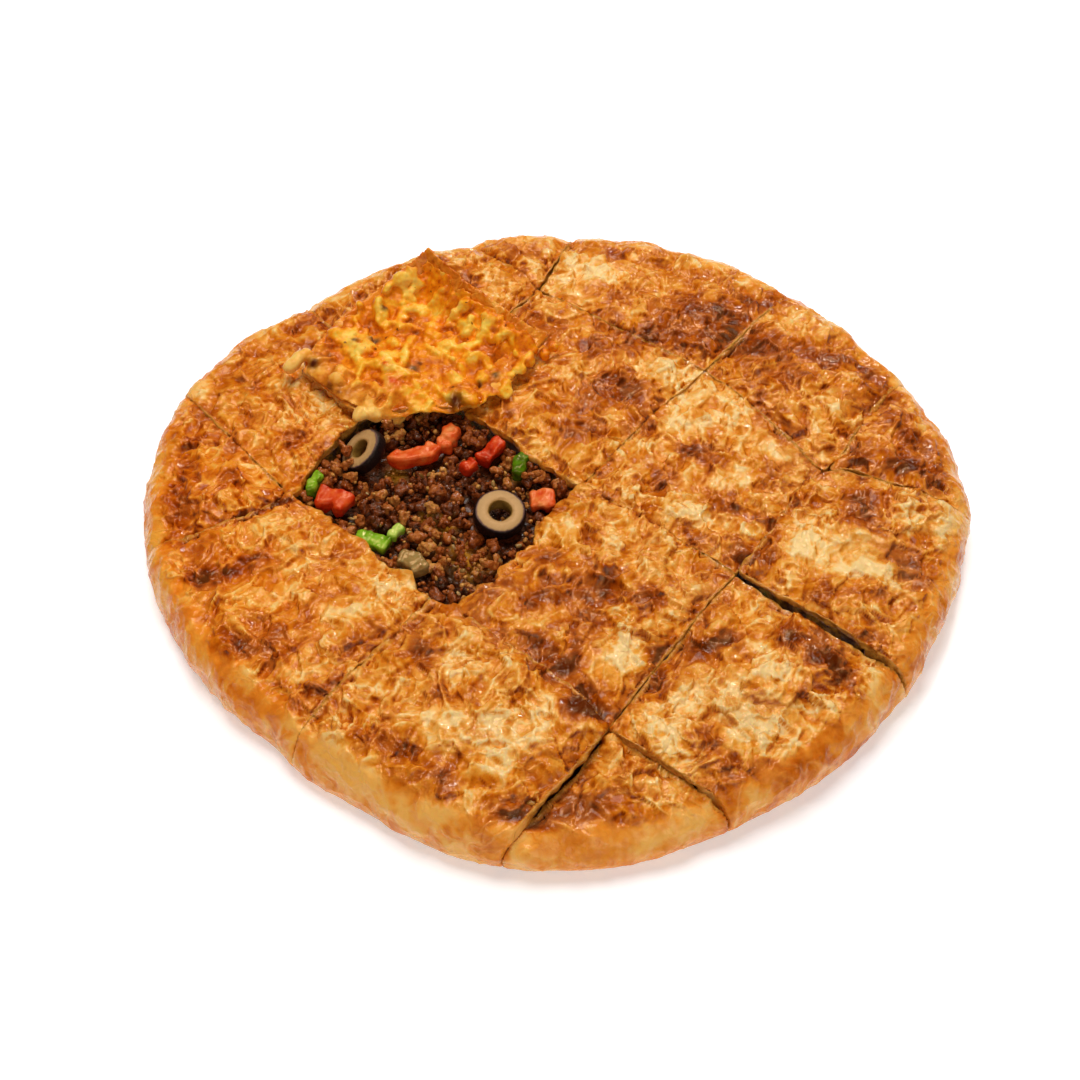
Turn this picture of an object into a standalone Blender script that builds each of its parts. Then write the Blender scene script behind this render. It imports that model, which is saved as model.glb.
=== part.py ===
"""Round meat feteer: a filled flatbread cut into a crossed grid of slices that still lie together.

One slice in the middle has its top crust lifted, turned over and laid back on its neighbours, so the
minced meat under it shows. Lengths are in millimetres and are turned into metres when a mesh is made.
+Z is up, -Y is the front, and the origin is at the middle of the underside.
"""

import math
import random

import bmesh
import bpy
from mathutils import Matrix, Vector, noise

MM = 0.001

# The outline: a circle with a few broad lobes, as a stretched sheet of dough bakes.
# Each lobe is (waves round the rim, size, direction of a crest in degrees).
RIM_RADIUS = 137.8
RIM_LOBES = ((1, 1.8, 89), (2, 1.9, -12), (3, 1.9, 126), (4, 2.8, -6), (7, 0.9, 32))

# Three long cuts (near, middle and far) run from the near left to the far right, and three cross cuts
# (left, centre and right) from the far left to the near right. These are their crossings.
NEAR_LEFT = (15.1, -99.5)
NEAR_CENTRE = (58.3, -39.8)
NEAR_RIGHT = (92.2, 4.2)
MIDDLE_LEFT = (-32.5, -54.9)
MIDDLE_CENTRE = (8.7, -2.3)
MIDDLE_RIGHT = (54.9, 55.1)
FAR_LEFT = (-90.0, -5.0)
FAR_CENTRE = (-52.9, 52.0)
FAR_RIGHT = (-6.1, 99.8)
# The near end of the middle cut is a little to the left of its own line.
STEPPED_LEFT = (-40.0, -51.3)

# The cuts wander as a knife does. Each point is (x, y, width of the gap), and each stretch runs
# between two crossings, or from a crossing out past the rim.
CUTS = {
    "near_start": ((*NEAR_LEFT, 1.4), (5.3, -113.0, 1.3), (-3.5, -123.1, 1.3), (-19.5, -140.0, 1.0)),
    "near_a": ((*NEAR_LEFT, 1.4), (27.2, -81.8, 1.6), (42.4, -60.8, 1.6), (*NEAR_CENTRE, 1.6)),
    "near_b": ((*NEAR_CENTRE, 1.6), (76.4, -15.8, 0.9), (80.8, -5.2, 0.9), (*NEAR_RIGHT, 1.3)),
    "near_end": ((*NEAR_RIGHT, 1.6), (101.1, 15.0, 1.6), (105.9, 24.7, 0.7), (125.8, 52.0, 0.5)),
    "middle_start": ((*STEPPED_LEFT, 0.6), (-53.3, -67.4, 0.7), (-66.6, -84.2, 1.6), (-86.0, -112.0, 0.8)),
    "middle_a": ((*MIDDLE_LEFT, 0.8), (-16.9, -39.4, 1.0), (-0.9, -13.6, 1.0), (*MIDDLE_CENTRE, 0.9)),
    "middle_b": ((*MIDDLE_CENTRE, 0.9), (34.1, 32.1, 1.2), (*MIDDLE_RIGHT, 1.2)),
    "middle_end": ((*MIDDLE_RIGHT, 1.2), (78.1, 84.0, 1.3), (95.3, 107.0, 1.2)),
    "far_start": ((*FAR_LEFT, 0.6), (-105.0, -16.6, 0.5), (-123.4, -24.9, 0.5), (-143.6, -27.4, 0.5)),
    "far_a": ((*FAR_LEFT, 1.4), (-81.1, 12.1, 1.2), (-71.2, 27.1, 1.2), (*FAR_CENTRE, 1.4)),
    "far_b": ((*FAR_CENTRE, 1.4), (-20.0, 82.3, 2.6), (*FAR_RIGHT, 2.4)),
    "far_end": ((*FAR_RIGHT, 2.4), (-1.0, 110.6, 2.4), (11.4, 143.0, 1.8)),
    "left_start": ((*FAR_LEFT, 1.4), (-104.4, 10.2, 1.2), (-136.0, 48.0, 1.0)),
    "left_a": ((*FAR_LEFT, 1.4), (-68.0, -25.0, 1.2), (*STEPPED_LEFT, 1.0)),
    "left_step": ((*STEPPED_LEFT, 1.0), (*MIDDLE_LEFT, 0.8)),
    "left_b": ((*MIDDLE_LEFT, 0.8), (-19.0, -66.3, 0.9), (7.6, -88.0, 0.9), (*NEAR_LEFT, 1.4)),
    "left_end": ((*NEAR_LEFT, 1.4), (40.1, -117.5, 1.1), (57.0, -130.9, 1.0)),
    "centre_start": ((*FAR_CENTRE, 1.4), (-82.8, 77.8, 1.2), (-102.0, 101.0, 1.2)),
    "centre_a": ((*FAR_CENTRE, 1.4), (-17.2, 22.7, 1.2), (-4.9, 9.3, 1.2), (*MIDDLE_CENTRE, 0.9)),
    "centre_b": ((*MIDDLE_CENTRE, 0.9), (28.5, -16.2, 0.7), (41.3, -25.8, 1.8), (*NEAR_CENTRE, 1.8)),
    "centre_end": ((*NEAR_CENTRE, 2.4), (83.1, -60.3, 5.0), (97.6, -71.3, 3.2), (117.2, -83.0, 1.2)),
    "right_start": ((*FAR_RIGHT, 1.6), (-11.5, 109.4, 1.4), (-24.5, 119.1, 1.3), (-41.4, 136.5, 1.0)),
    "right_a": ((*FAR_RIGHT, 2.4), (5.4, 91.9, 1.0), (*MIDDLE_RIGHT, 1.2)),
    "right_b": ((*MIDDLE_RIGHT, 1.2), (64.7, 45.7, 0.7), (*NEAR_RIGHT, 1.3)),
    "right_end": ((*NEAR_RIGHT, 2.0), (99.8, 5.4, 3.0), (111.1, -0.6, 3.2), (145.5, -15.5, 1.2)),
}

# The slices on the rim, clockwise: (cut on the anticlockwise side, cuts along the inner side, cut on
# the clockwise side, height of the top). A cut with "-" in front is followed backwards.
RIM_SLICES = (
    ("right_end", ("-near_b",), "centre_end", 21.6),
    ("centre_end", ("-near_a",), "left_end", 20.0),
    ("left_end", (), "near_start", 17.6),
    ("near_start", ("-left_b", "-left_step"), "middle_start", 21.4),
    ("middle_start", ("-left_a",), "far_start", 21.0),
    ("far_start", (), "left_start", 20.2),
    ("left_start", ("far_a",), "centre_start", 20.4),
    ("centre_start", ("far_b",), "right_start", 20.0),
    ("right_start", (), "far_end", 19.6),
    ("far_end", ("right_a",), "middle_end", 20.4),
    ("middle_end", ("right_b",), "near_end", 20.4),
    ("near_end", (), "right_end", 20.6),
)
# The slices with a cut on every side: the cuts along each side, anticlockwise, and the height of the top.
CENTRE_SLICES = {
    "near": ((("left_b",), ("near_a",), ("-centre_b",), ("-middle_a",)), 20.6),
    "right": ((("centre_b",), ("near_b",), ("-right_b",), ("-middle_b",)), 20.2),
    "far": ((("centre_a",), ("middle_b",), ("-right_a",), ("-far_b",)), 20.4),
}
OPEN_SLICE = (("left_a", "left_step"), ("middle_a",), ("-centre_a",), ("-far_a",))

# The crust under the filling, the crust over it, and the filling, which stops short of the cuts.
BASE_THICKNESS = 3.5
CRUST_THICKNESS = 4.6
FILLING_INSET = 1.2
FILLING_SHORT = 2.4
PIECE_GAP = 0.35
# How far the space for the filling is cut past a slice's own sides, so that it is open there.
POCKET_OVERRUN = 5.0

# The rim's rounded section, and the dough that closes it.
SHOULDER = 9.0
SHOULDER_DROP = 1.4
SHOULDER_START = 0.7
RIM_TUCK = 3.0
RIM_BELLY = 0.42
RIM_DOUGH = 14.0
RIM_STEPS = 5
EDGE_SINK = 1.2
EDGE_SINK_REACH = 4.0

# Relief of the baked top: broad swells and blisters, each (size, length).
SWELLS = ((1.6, 34.0), (1.2, 15.0))
SWELL_LAYER = 5.0
SLICE_STEPS = 10
CORNER_STEPS = 8
LOOP_STEPS = 6

# The lifted top crust, by its four edges: each point is (x, y, height of the middle of the sheet).
LIFTED_FRONT = (-70.2, 24.8, 23.6)
LIFTED_RIGHT = (-1.0, 61.6, 26.6)
LIFTED_BACK = (-47.0, 97.5, 40.4)
LIFTED_LEFT = (-91.6, 46.2, 24.4)
LIFTED_FRONT_RIGHT = (
    LIFTED_FRONT,
    (-61.5, 24.6, 23.3),
    (-50.6, 28.2, 23.0),
    (-29.5, 28.5, 22.8),
    (-15.6, 39.0, 24.0),
    (-8.5, 51.0, 25.0),
    LIFTED_RIGHT,
)
LIFTED_LEFT_BACK = (LIFTED_LEFT, (-88.6, 56.6, 25.6), (-80.5, 70.4, 28.0), (-65.2, 83.6, 32.0), LIFTED_BACK)
LIFTED_RIGHT_BACK = (LIFTED_RIGHT, (-15.1, 69.2, 32.6), (-32.0, 81.6, 37.4), LIFTED_BACK)
LIFTED_FRONT_LEFT = (LIFTED_FRONT, LIFTED_LEFT)
LIFTED_FLOOR = 23.4
LIFTED_BANK = 0.2
LIFTED_THICKNESS = 2.2
LIFTED_STEPS = 11

# The melted cheese on it.
CHEESE_MEAN = 2.4
CHEESE_LUMP = 2.0
CHEESE_LUMP_LENGTH = 9.0
CHEESE_LAYER = 90.0
CHEESE_EDGE = 0.9
CHEESE_BANK = 0.12
CHEESE_INSET = 0.03
CHEESE_GAP = 0.5

# The bared filling: a core with crumbs of minced meat fused on.
MEAT_LEVEL = 10.6
MEAT_SWELL = 0.6
MEAT_SWELL_LENGTH = 8.0
MEAT_LAYER = 40.0
MEAT_INSET = 1.5
MEAT_STEPS = 9
CRUMB_COUNT = 76
CRUMB_TRIES = 9000
CRUMB_RADII = (2.4, 3.8)
CRUMB_SPACING = 1.72
CRUMB_MARGIN = 0.05
CRUMB_SEED = 7
# Shares of a crumb's radius: how far its corners stand from the middle, and how far it stands proud.
CRUMB_CORNERS = (0.8, 1.15)
CRUMB_RISE = (0.1, 0.5)
TOPPING_CLEARANCE = 0.5

# Each olive ring is (centre, outer and inner radius, thickness, tilt about x, y and z).
OLIVES = {
    "olive_ring_front": ((-19.0, -12.4), 9.1, 3.7, 6.0, (12, 2, 20)),
    "olive_ring_back": ((-66.6, 14.6), 8.8, 3.2, 5.2, (0, -36, 7)),
}
OLIVE_TURNS = 16
OLIVE_ROUNDING = 0.9
OLIVE_OVAL = 0.03

# Each diced piece is (centre, length, width and height, tilt, bend in radians, kind). A centre's third
# number is how far the piece lies above the filling's core, where it rests on crumbs.
DICED = {
    "tomato_bent_strip": ((-48.4, 14.2, 1.6), (18.0, 5.6, 4.6), (0, 0, 18), -1.5, "tomato"),
    "tomato_orange_piece": ((-37.4, 23.0, 1.4), (10.0, 5.0, 5.0), (0, -6, 68), 0.4, "tomato"),
    "tomato_red_piece": ((-22.6, 17.2, 1.2), (11.5, 5.4, 4.6), (0, -4, 50), 0.3, "tomato"),
    "tomato_red_chip": ((-30.2, 10.8, 0.8), (5.6, 4.2, 3.6), (0, 0, 40), 0.0, "tomato"),
    "tomato_left_chunk": ((-75.4, -6.2, 1.4), (12.0, 8.2, 5.4), (0, 6, -18), 0.5, "tomato"),
    "tomato_right_strip": ((-4.6, -5.2, 1.0), (8.0, 7.2, 4.0), (0, 0, 4), 0.0, "tomato"),
    "pepper_left_piece": ((-83.0, 0.8, 1.4), (8.4, 3.6, 6.0), (0, 0, 74), 0.9, "pepper"),
    "pepper_right_piece": ((-12.2, 10.0, 1.2), (9.0, 4.2, 5.4), (0, 0, 74), 0.6, "pepper"),
    "pepper_front_piece": ((-60.8, -23.8, 1.8), (11.0, 6.2, 3.4), (0, 4, -14), 0.6, "pepper"),
    "pepper_chip": ((-53.8, -19.0, 1.2), (6.0, 3.0, 3.2), (0, 0, 60), 0.5, "pepper"),
    "onion_piece": ((-47.4, -33.0, 1.4), (10.0, 6.0, 4.0), (0, 0, -38), 0.8, "onion"),
}
DICED_CUTS = 3
DICED_UNEVEN = 0.06
DICED_ROUNDING = 0.16
DICED_SHARP = 0.9
# The crumbs keep clear of three round spots along each piece, whose radius is a share of its length
# and a share of its width.
DICED_SPOTS = (-0.33, 0.0, 0.33)
DICED_ROOM = (0.2, 0.4)

# Base colour and roughness of each kind of piece.
SURFACES = {
    "crust": ((0.72, 0.40, 0.13), 0.45),
    "base": ((0.66, 0.38, 0.14), 0.6),
    "filling": ((0.20, 0.09, 0.04), 0.5),
    "cheese": ((0.86, 0.42, 0.07), 0.3),
    "olive": ((0.05, 0.04, 0.05), 0.35),
    "tomato": ((0.72, 0.10, 0.04), 0.3),
    "pepper": ((0.17, 0.34, 0.04), 0.3),
    "onion": ((0.45, 0.36, 0.20), 0.3),
}


def new_material(name, kind):
    """The material of one piece."""
    colour, roughness = SURFACES[kind]
    made = bpy.data.materials.new(f"{name}_{kind}")
    made.use_nodes = True
    shader = made.node_tree.nodes["Principled BSDF"]
    shader.inputs["Base Color"].default_value = (*colour, 1.0)
    shader.inputs["Roughness"].default_value = roughness
    shader.inputs["Metallic"].default_value = 0.0
    return made


def new_object(name, mesh, kind):
    """A named object that holds this bmesh, in metres, with doubled points joined and faces turned out."""
    bmesh.ops.remove_doubles(mesh, verts=mesh.verts, dist=1e-4)
    bmesh.ops.recalc_face_normals(mesh, faces=mesh.faces)
    bmesh.ops.scale(mesh, vec=(MM, MM, MM), verts=mesh.verts)
    data = bpy.data.meshes.new(name)
    mesh.to_mesh(data)
    mesh.free()
    data.materials.append(new_material(name, kind))
    made = bpy.data.objects.new(name, data)
    bpy.context.scene.collection.objects.link(made)
    return made


def apply_modifiers(item):
    """Keeps the object as its modifiers leave it."""
    bpy.context.view_layer.update()
    graph = bpy.context.evaluated_depsgraph_get()
    item.data = bpy.data.meshes.new_from_object(item.evaluated_get(graph))
    item.modifiers.clear()


def ease(value):
    """A smooth step from 0 to 1."""
    value = min(1.0, max(0.0, value))
    return value * value * (3 - 2 * value)


def relief(point):
    """Swells and blisters of the baked top at a plan point."""
    total = 0.0
    for number, (size, length) in enumerate(SWELLS):
        total += size * noise.noise(Vector((point.x / length, point.y / length, SWELL_LAYER * number)))
    return total


def rim_radius(angle):
    """The outline's radius in a direction, in radians."""
    lobes = (size * math.cos(waves * angle - math.radians(crest)) for waves, size, crest in RIM_LOBES)
    return RIM_RADIUS + sum(lobes)


def rim_depth(point):
    """How far inside the outline a plan point lies."""
    return rim_radius(math.atan2(point.y, point.x)) - point.length


def rim_arc(start, end, inset, share):
    """A point on the outline less an inset, at a share of the way clockwise from one point to another."""
    first = math.atan2(start.y, start.x)
    last = math.atan2(end.y, end.x)
    if last > first:
        last -= 2 * math.pi
    angle = first + (last - first) * share
    return Vector((math.cos(angle), math.sin(angle))) * (rim_radius(angle) - inset)


def along(line, share):
    """The point at a share of a line's length."""
    lengths = [(q - p).length for p, q in zip(line, line[1:])]
    left = share * sum(lengths)
    for p, q, length in zip(line, line[1:], lengths):
        if left <= length and length > 0:
            return p.lerp(q, left / length)
        left -= length
    return line[-1].copy()


def trimmed(line, inset):
    """The line up to where it reaches the outline less an inset."""
    kept = [line[0]]
    for p, q in zip(line, line[1:]):
        if rim_depth(q) > inset:
            kept.append(q)
            continue
        near, far = 0.0, 1.0
        while far - near > 1e-6:
            middle = (near + far) / 2
            if rim_depth(p.lerp(q, middle)) > inset:
                near = middle
            else:
                far = middle
        kept.append(p.lerp(q, near))
        break
    return kept


def crossing(p, q, r, s):
    """Where the line through p and q meets the line through r and s."""
    one, other = q - p, s - r
    across = one.x * other.y - one.y * other.x
    return p + one * (((r - p).x * other.y - (r - p).y * other.x) / across)


def slice_edge(cuts, inset):
    """The edge of a slice: its cuts in turn, moved to the left by half the gap and an inset."""
    points = []
    for name in cuts:
        line = CUTS[name.lstrip("-")]
        if name.startswith("-"):
            line = line[::-1]
        points += line[1:] if points else line
    places = [Vector(point[:2]) for point in points]
    steps = [(q - p).normalized() for p, q in zip(places, places[1:])]
    moved = []
    for number, place in enumerate(places):
        direction = steps[max(0, number - 1)] + steps[min(number, len(steps) - 1)]
        left = Vector((-direction.y, direction.x)).normalized()
        moved.append(place + left * (points[number][2] / 2 + inset))
    return moved


def join_corner(first, second):
    """Brings the end of one edge and the start of the next to where they meet."""
    corner = crossing(first[-2], first[-1], second[0], second[1])
    first[-1] = corner
    second[0] = corner.copy()


def sheet_point(near, far, left, right, u, v):
    """A point of a sheet between four edges: near and far run with u, left and right with v."""
    corners = near[0].lerp(near[-1], u).lerp(far[0].lerp(far[-1], u), v)
    lengthways = along(near, u).lerp(along(far, u), v)
    across = along(left, v).lerp(along(right, v), u)
    return lengthways + across - corners


def prism(points, low, high):
    """A straight block on a plan outline."""
    mesh = bmesh.new()
    foot = mesh.faces.new([mesh.verts.new((point.x, point.y, low)) for point in points])
    raised = bmesh.ops.extrude_face_region(mesh, geom=[foot])
    moved = [item for item in raised["geom"] if isinstance(item, bmesh.types.BMVert)]
    bmesh.ops.translate(mesh, verts=moved, vec=(0, 0, high - low))
    return mesh


def grid_faces(mesh, rows):
    """Quads over a grid of points."""
    for lower, upper in zip(rows, rows[1:]):
        for a, b, c, d in zip(lower, upper, upper[1:], lower[1:]):
            mesh.faces.new((a, b, c, d))


def grid_rim(rows):
    """The points round a grid's edge, in order."""
    there = [row[0] for row in rows] + rows[-1][1:]
    back = [row[-1] for row in rows[-2::-1]] + rows[0][-2:0:-1]
    return there + back


def wall_faces(mesh, upper, lower):
    """Quads between two lines of points."""
    for a, b, c, d in zip(upper, upper[1:], lower[1:], lower):
        mesh.faces.new((a, b, c, d))


def feet_of(mesh, verts, level):
    """New points straight under these."""
    return [mesh.verts.new((vert.co.x, vert.co.y, level)) for vert in verts]


class RimSlice:
    """A slice with one side on the rim. u runs clockwise from cut to cut, v from the inner end outwards."""

    def __init__(self, cut_a, inner, cut_b, top, inset=0.0):
        self.top = top
        self.is_corner = not inner
        backwards = slice_edge((f"-{cut_a}",), inset)
        side_b = slice_edge((cut_b,), inset)
        if self.is_corner:
            join_corner(backwards, side_b)
            self.inner = [side_b[0], side_b[0]]
        else:
            self.inner = slice_edge(inner, inset)
            join_corner(backwards, self.inner)
            join_corner(self.inner, side_b)
        side_a = backwards[::-1]
        self.out_a, self.out_b = trimmed(side_a, 0.0)[-1], trimmed(side_b, 0.0)[-1]
        self.side_a, self.side_b = trimmed(side_a, SHOULDER), trimmed(side_b, SHOULDER)
        self.depth = (self.side_a[-1] - self.side_a[0]).length
        self.width = (self.side_a[-1] - self.side_b[-1]).length
        ends = self.side_a[-1], self.side_b[-1]
        self.outer = [rim_arc(*ends, SHOULDER, number / SLICE_STEPS) for number in range(SLICE_STEPS + 1)]

    def plan(self, u, v):
        """The plan point of the top, where v is 1 at the start of the rim's shoulder."""
        return sheet_point(self.inner, self.outer, self.side_a, self.side_b, u, v)

    def height(self, u, v):
        """The height of the top crust's outer side."""
        width = self.width * v if self.is_corner else self.width
        cut_distance = min(u * width, (1 - u) * width, v * self.depth)
        sink = EDGE_SINK * math.exp(-cut_distance / EDGE_SINK_REACH)
        shoulder = (v - SHOULDER_START) / (1 - SHOULDER_START)
        return self.top + relief(self.plan(u, v)) - sink - SHOULDER_DROP * ease(shoulder)

    def rim_points(self, u):
        """The rim's round section, from just past the shoulder's start down to the foot."""
        start, top = self.plan(u, 1.0), self.height(u, 1.0)
        outwards = rim_arc(self.out_a, self.out_b, 0.0, u) - start
        belly = RIM_BELLY * top
        points = []
        for step in range(1, RIM_STEPS + 1):
            turn = math.pi * step / RIM_STEPS
            if turn < math.pi / 2:
                share, level = math.sin(turn), belly + (top - belly) * math.cos(turn)
            else:
                share = 1 - RIM_TUCK / SHOULDER * (1 - math.sin(turn))
                level = belly * (1 + math.cos(turn))
            spot = start + outwards * share
            points.append((spot.x, spot.y, level))
        return points

    def filling_loop(self, dough):
        """The outline of what lies inside the rim's closed dough."""
        end = 1 - (dough - SHOULDER) / self.depth
        shares = [number / LOOP_STEPS for number in range(LOOP_STEPS)]
        loop = [self.plan(0.0, end * share) for share in shares]
        loop += [self.plan(share, end) for share in shares]
        loop += [self.plan(1.0, end * (1 - share)) for share in shares]
        if not self.is_corner:
            loop += [self.plan(1 - share, 0.0) for share in shares]
        return loop


def rim_slice_block(part, steps):
    """The whole slice, before its pocket is cut: baked top, rounded rim and straight cut sides."""
    mesh = bmesh.new()
    shares = [number / steps for number in range(steps + 1)]
    rows = []
    for u in shares:
        spots = [(part.plan(u, v), part.height(u, v)) for v in shares]
        points = [(spot.x, spot.y, level) for spot, level in spots] + part.rim_points(u)
        rows.append([mesh.verts.new(point) for point in points])
    grid_faces(mesh, rows)
    feet_a = feet_of(mesh, rows[0][: steps + 1], 0.0)
    feet_b = feet_of(mesh, rows[-1][: steps + 1], 0.0)
    for side, feet in ((rows[0], feet_a), (rows[-1], feet_b)):
        wall_faces(mesh, side[: steps + 1], feet)
        mesh.faces.new([*side[steps:], feet[steps]])
    inner = [row[0] for row in rows]
    feet_inner = [feet_a[0], *feet_of(mesh, inner[1:-1], 0.0), feet_b[0]]
    wall_faces(mesh, inner, feet_inner)
    rim_foot = [row[-1] for row in rows]
    mesh.faces.new([*feet_inner, *feet_b[1:], *rim_foot[::-1], *feet_a[:0:-1]])
    return mesh


def cut_pocket(block, loop, low, high):
    """Cuts the space for the filling out of a slice."""
    cutter = new_object(f"{block.name}_pocket", prism(loop, low, high), "filling")
    cutter.hide_render = True
    cutter.display_type = "WIRE"
    pocket = block.modifiers.new("pocket", "BOOLEAN")
    pocket.operation = "DIFFERENCE"
    pocket.solver = "EXACT"
    pocket.object = cutter
    apply_modifiers(block)
    bpy.data.objects.remove(cutter)


def make_rim_slice(number, cut_a, inner, cut_b, top):
    """One slice of the rim: its folded crust and its filling."""
    name = f"rim_slice_{number:02d}"
    part = RimSlice(cut_a, inner, cut_b, top)
    steps = CORNER_STEPS if part.is_corner else SLICE_STEPS
    block = new_object(f"{name}_crust", rim_slice_block(part, steps), "crust")
    wide = RimSlice(cut_a, inner, cut_b, top, inset=-POCKET_OVERRUN)
    pocket_top = top - CRUST_THICKNESS
    cut_pocket(block, wide.filling_loop(RIM_DOUGH), BASE_THICKNESS, pocket_top)
    narrow = RimSlice(cut_a, inner, cut_b, top, inset=FILLING_INSET)
    loop = narrow.filling_loop(RIM_DOUGH + FILLING_SHORT)
    filling = prism(loop, BASE_THICKNESS + PIECE_GAP, pocket_top - PIECE_GAP)
    new_object(f"{name}_filling", filling, "filling")


class CentreSlice:
    """A four-sided slice with a cut on every side."""

    def __init__(self, sides, top, inset=0.0):
        self.top = top
        edges = [slice_edge(cuts, inset) for cuts in sides]
        for first, second in zip(edges, edges[1:] + edges[:1]):
            join_corner(first, second)
        self.near, self.right, self.far, self.left = edges[0], edges[1], edges[2][::-1], edges[3][::-1]
        self.loop = [point for edge in edges for point in edge[:-1]]
        self.width = (self.near[-1] - self.near[0]).length
        self.depth = (self.left[-1] - self.left[0]).length

    def plan(self, u, v):
        return sheet_point(self.near, self.far, self.left, self.right, u, v)

    def height(self, u, v):
        """The height of the top crust's outer side."""
        cut_distance = min(u * self.width, (1 - u) * self.width, v * self.depth, (1 - v) * self.depth)
        return self.top + relief(self.plan(u, v)) - EDGE_SINK * math.exp(-cut_distance / EDGE_SINK_REACH)


def slab(part, steps, low, height):
    """A slab of a centre slice with an uneven top and straight sides down to a flat underside."""
    mesh = bmesh.new()
    shares = [number / steps for number in range(steps + 1)]
    rows = []
    for u in shares:
        spots = [(part.plan(u, v), height(u, v)) for v in shares]
        rows.append([mesh.verts.new((spot.x, spot.y, level)) for spot, level in spots])
    grid_faces(mesh, rows)
    rim = grid_rim(rows)
    feet = feet_of(mesh, rim, low)
    wall_faces(mesh, rim + rim[:1], feet + feet[:1])
    mesh.faces.new(feet)
    return mesh


def make_centre_slice(name, sides, top):
    """A closed centre slice: its base, filling and top crust."""
    part = CentreSlice(sides, top)
    underside = top - CRUST_THICKNESS
    new_object(f"{name}_base", prism(part.loop, 0.0, BASE_THICKNESS), "base")
    loop = CentreSlice(sides, top, inset=FILLING_INSET).loop
    filling = prism(loop, BASE_THICKNESS + PIECE_GAP, underside - PIECE_GAP)
    new_object(f"{name}_filling", filling, "filling")
    new_object(f"{name}_crust", slab(part, SLICE_STEPS, underside, part.height), "crust")


def fuse(core, pieces):
    """Joins all the pieces to the core by one union, and removes them."""
    group = bpy.data.collections.new(f"{core.name}_pieces")
    bpy.context.scene.collection.children.link(group)
    for piece in pieces:
        bpy.context.scene.collection.objects.unlink(piece)
        group.objects.link(piece)
    union = core.modifiers.new("union", "BOOLEAN")
    union.operation = "UNION"
    union.solver = "EXACT"
    union.operand_type = "COLLECTION"
    union.collection = group
    apply_modifiers(core)
    for piece in pieces:
        bpy.data.objects.remove(piece)
    bpy.data.collections.remove(group)


def crumb(number, centre, radius, draw):
    """A crumb of minced meat: a knobbly ball with few sides."""
    mesh = bmesh.new()
    bmesh.ops.create_icosphere(mesh, subdivisions=1, radius=radius)
    for vert in mesh.verts:
        vert.co *= draw.uniform(*CRUMB_CORNERS)
    turn = Matrix.Rotation(draw.uniform(0, 2 * math.pi), 4, "Z")
    bmesh.ops.transform(mesh, matrix=Matrix.Translation(centre) @ turn, verts=mesh.verts)
    return new_object(f"crumb_{number}", mesh, "filling")


def meat_height(point):
    """The top of the bared filling's core."""
    return MEAT_LEVEL + MEAT_SWELL * noise.noise(Vector((*point, MEAT_LAYER)) / MEAT_SWELL_LENGTH)


def make_meat(taken):
    """The bared filling, with its crumbs spread evenly, largest first, and clear of the toppings."""
    part = CentreSlice(OPEN_SLICE, MEAT_LEVEL, inset=MEAT_INSET)
    core = slab(part, MEAT_STEPS, BASE_THICKNESS + PIECE_GAP, lambda u, v: meat_height(part.plan(u, v)))
    meat = new_object("open_slice_meat", core, "filling")
    draw = random.Random(CRUMB_SEED)
    smallest, largest = CRUMB_RADII
    placed, crumbs = [], []
    for _ in range(CRUMB_TRIES):
        if len(crumbs) == CRUMB_COUNT:
            break
        radius = largest - (largest - smallest) * len(crumbs) / CRUMB_COUNT
        u = draw.uniform(CRUMB_MARGIN, 1 - CRUMB_MARGIN)
        v = draw.uniform(CRUMB_MARGIN, 1 - CRUMB_MARGIN)
        spot = part.plan(u, v)
        if any((spot - other).length < CRUMB_SPACING * (radius + size) / 2 for other, size in placed):
            continue
        if any((spot - centre).length < reach + radius for centre, reach in taken):
            continue
        placed.append((spot, radius))
        level = meat_height(spot) + radius * draw.uniform(*CRUMB_RISE)
        crumbs.append(crumb(len(crumbs), Vector((*spot, level)), radius, draw))
    fuse(meat, crumbs)


def olive_ring(name, centre, outer, inner, thickness, tilt):
    """A slice of a pitted olive: a ring with rounded edges."""
    half, bevel = thickness / 2, OLIVE_ROUNDING
    section = [(inner, half - bevel / 2), (inner + bevel / 2, half)]
    section += [(outer - bevel, half), (outer, half - bevel)]
    section += [(r, -z) for r, z in section[::-1]]
    mesh = bmesh.new()
    loops = []
    for turn in range(OLIVE_TURNS):
        angle = 2 * math.pi * turn / OLIVE_TURNS
        across, up = math.cos(angle) * (1 + OLIVE_OVAL * math.cos(2 * angle)), math.sin(angle)
        loops.append([mesh.verts.new((r * across, r * up, z)) for r, z in section])
    for one, other in zip(loops, loops[1:] + loops[:1]):
        wall_faces(mesh, one + one[:1], other + other[:1])
    place_topping(name, mesh, (*centre, 0.0), tilt, "olive")


def diced_piece(name, centre, size, tilt, bend, kind):
    """A diced piece of vegetable: a block with uneven sides and rounded edges, bent about its width."""
    draw = random.Random(name)
    mesh = bmesh.new()
    bmesh.ops.create_cube(mesh, size=1.0)
    lengthways = [edge for edge in mesh.edges if abs((edge.verts[0].co - edge.verts[1].co).x) > 0.5]
    bmesh.ops.subdivide_edges(mesh, edges=lengthways, cuts=DICED_CUTS)
    for vert in mesh.verts:
        uneven = Vector([draw.uniform(-DICED_UNEVEN, DICED_UNEVEN) for _ in range(3)])
        vert.co = (vert.co + uneven) * Vector(size)
    if bend:
        radius = size[0] / bend
        for vert in mesh.verts:
            turn, reach = vert.co.x / radius, radius + vert.co.y
            vert.co.x, vert.co.y = reach * math.sin(turn), reach * math.cos(turn) - radius
    sharp = [edge for edge in mesh.edges if edge.calc_face_angle(0.0) > DICED_SHARP]
    bmesh.ops.bevel(mesh, geom=sharp, offset=DICED_ROUNDING * min(size), segments=1, affect="EDGES")
    place_topping(name, mesh, centre, tilt, kind)


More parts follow.
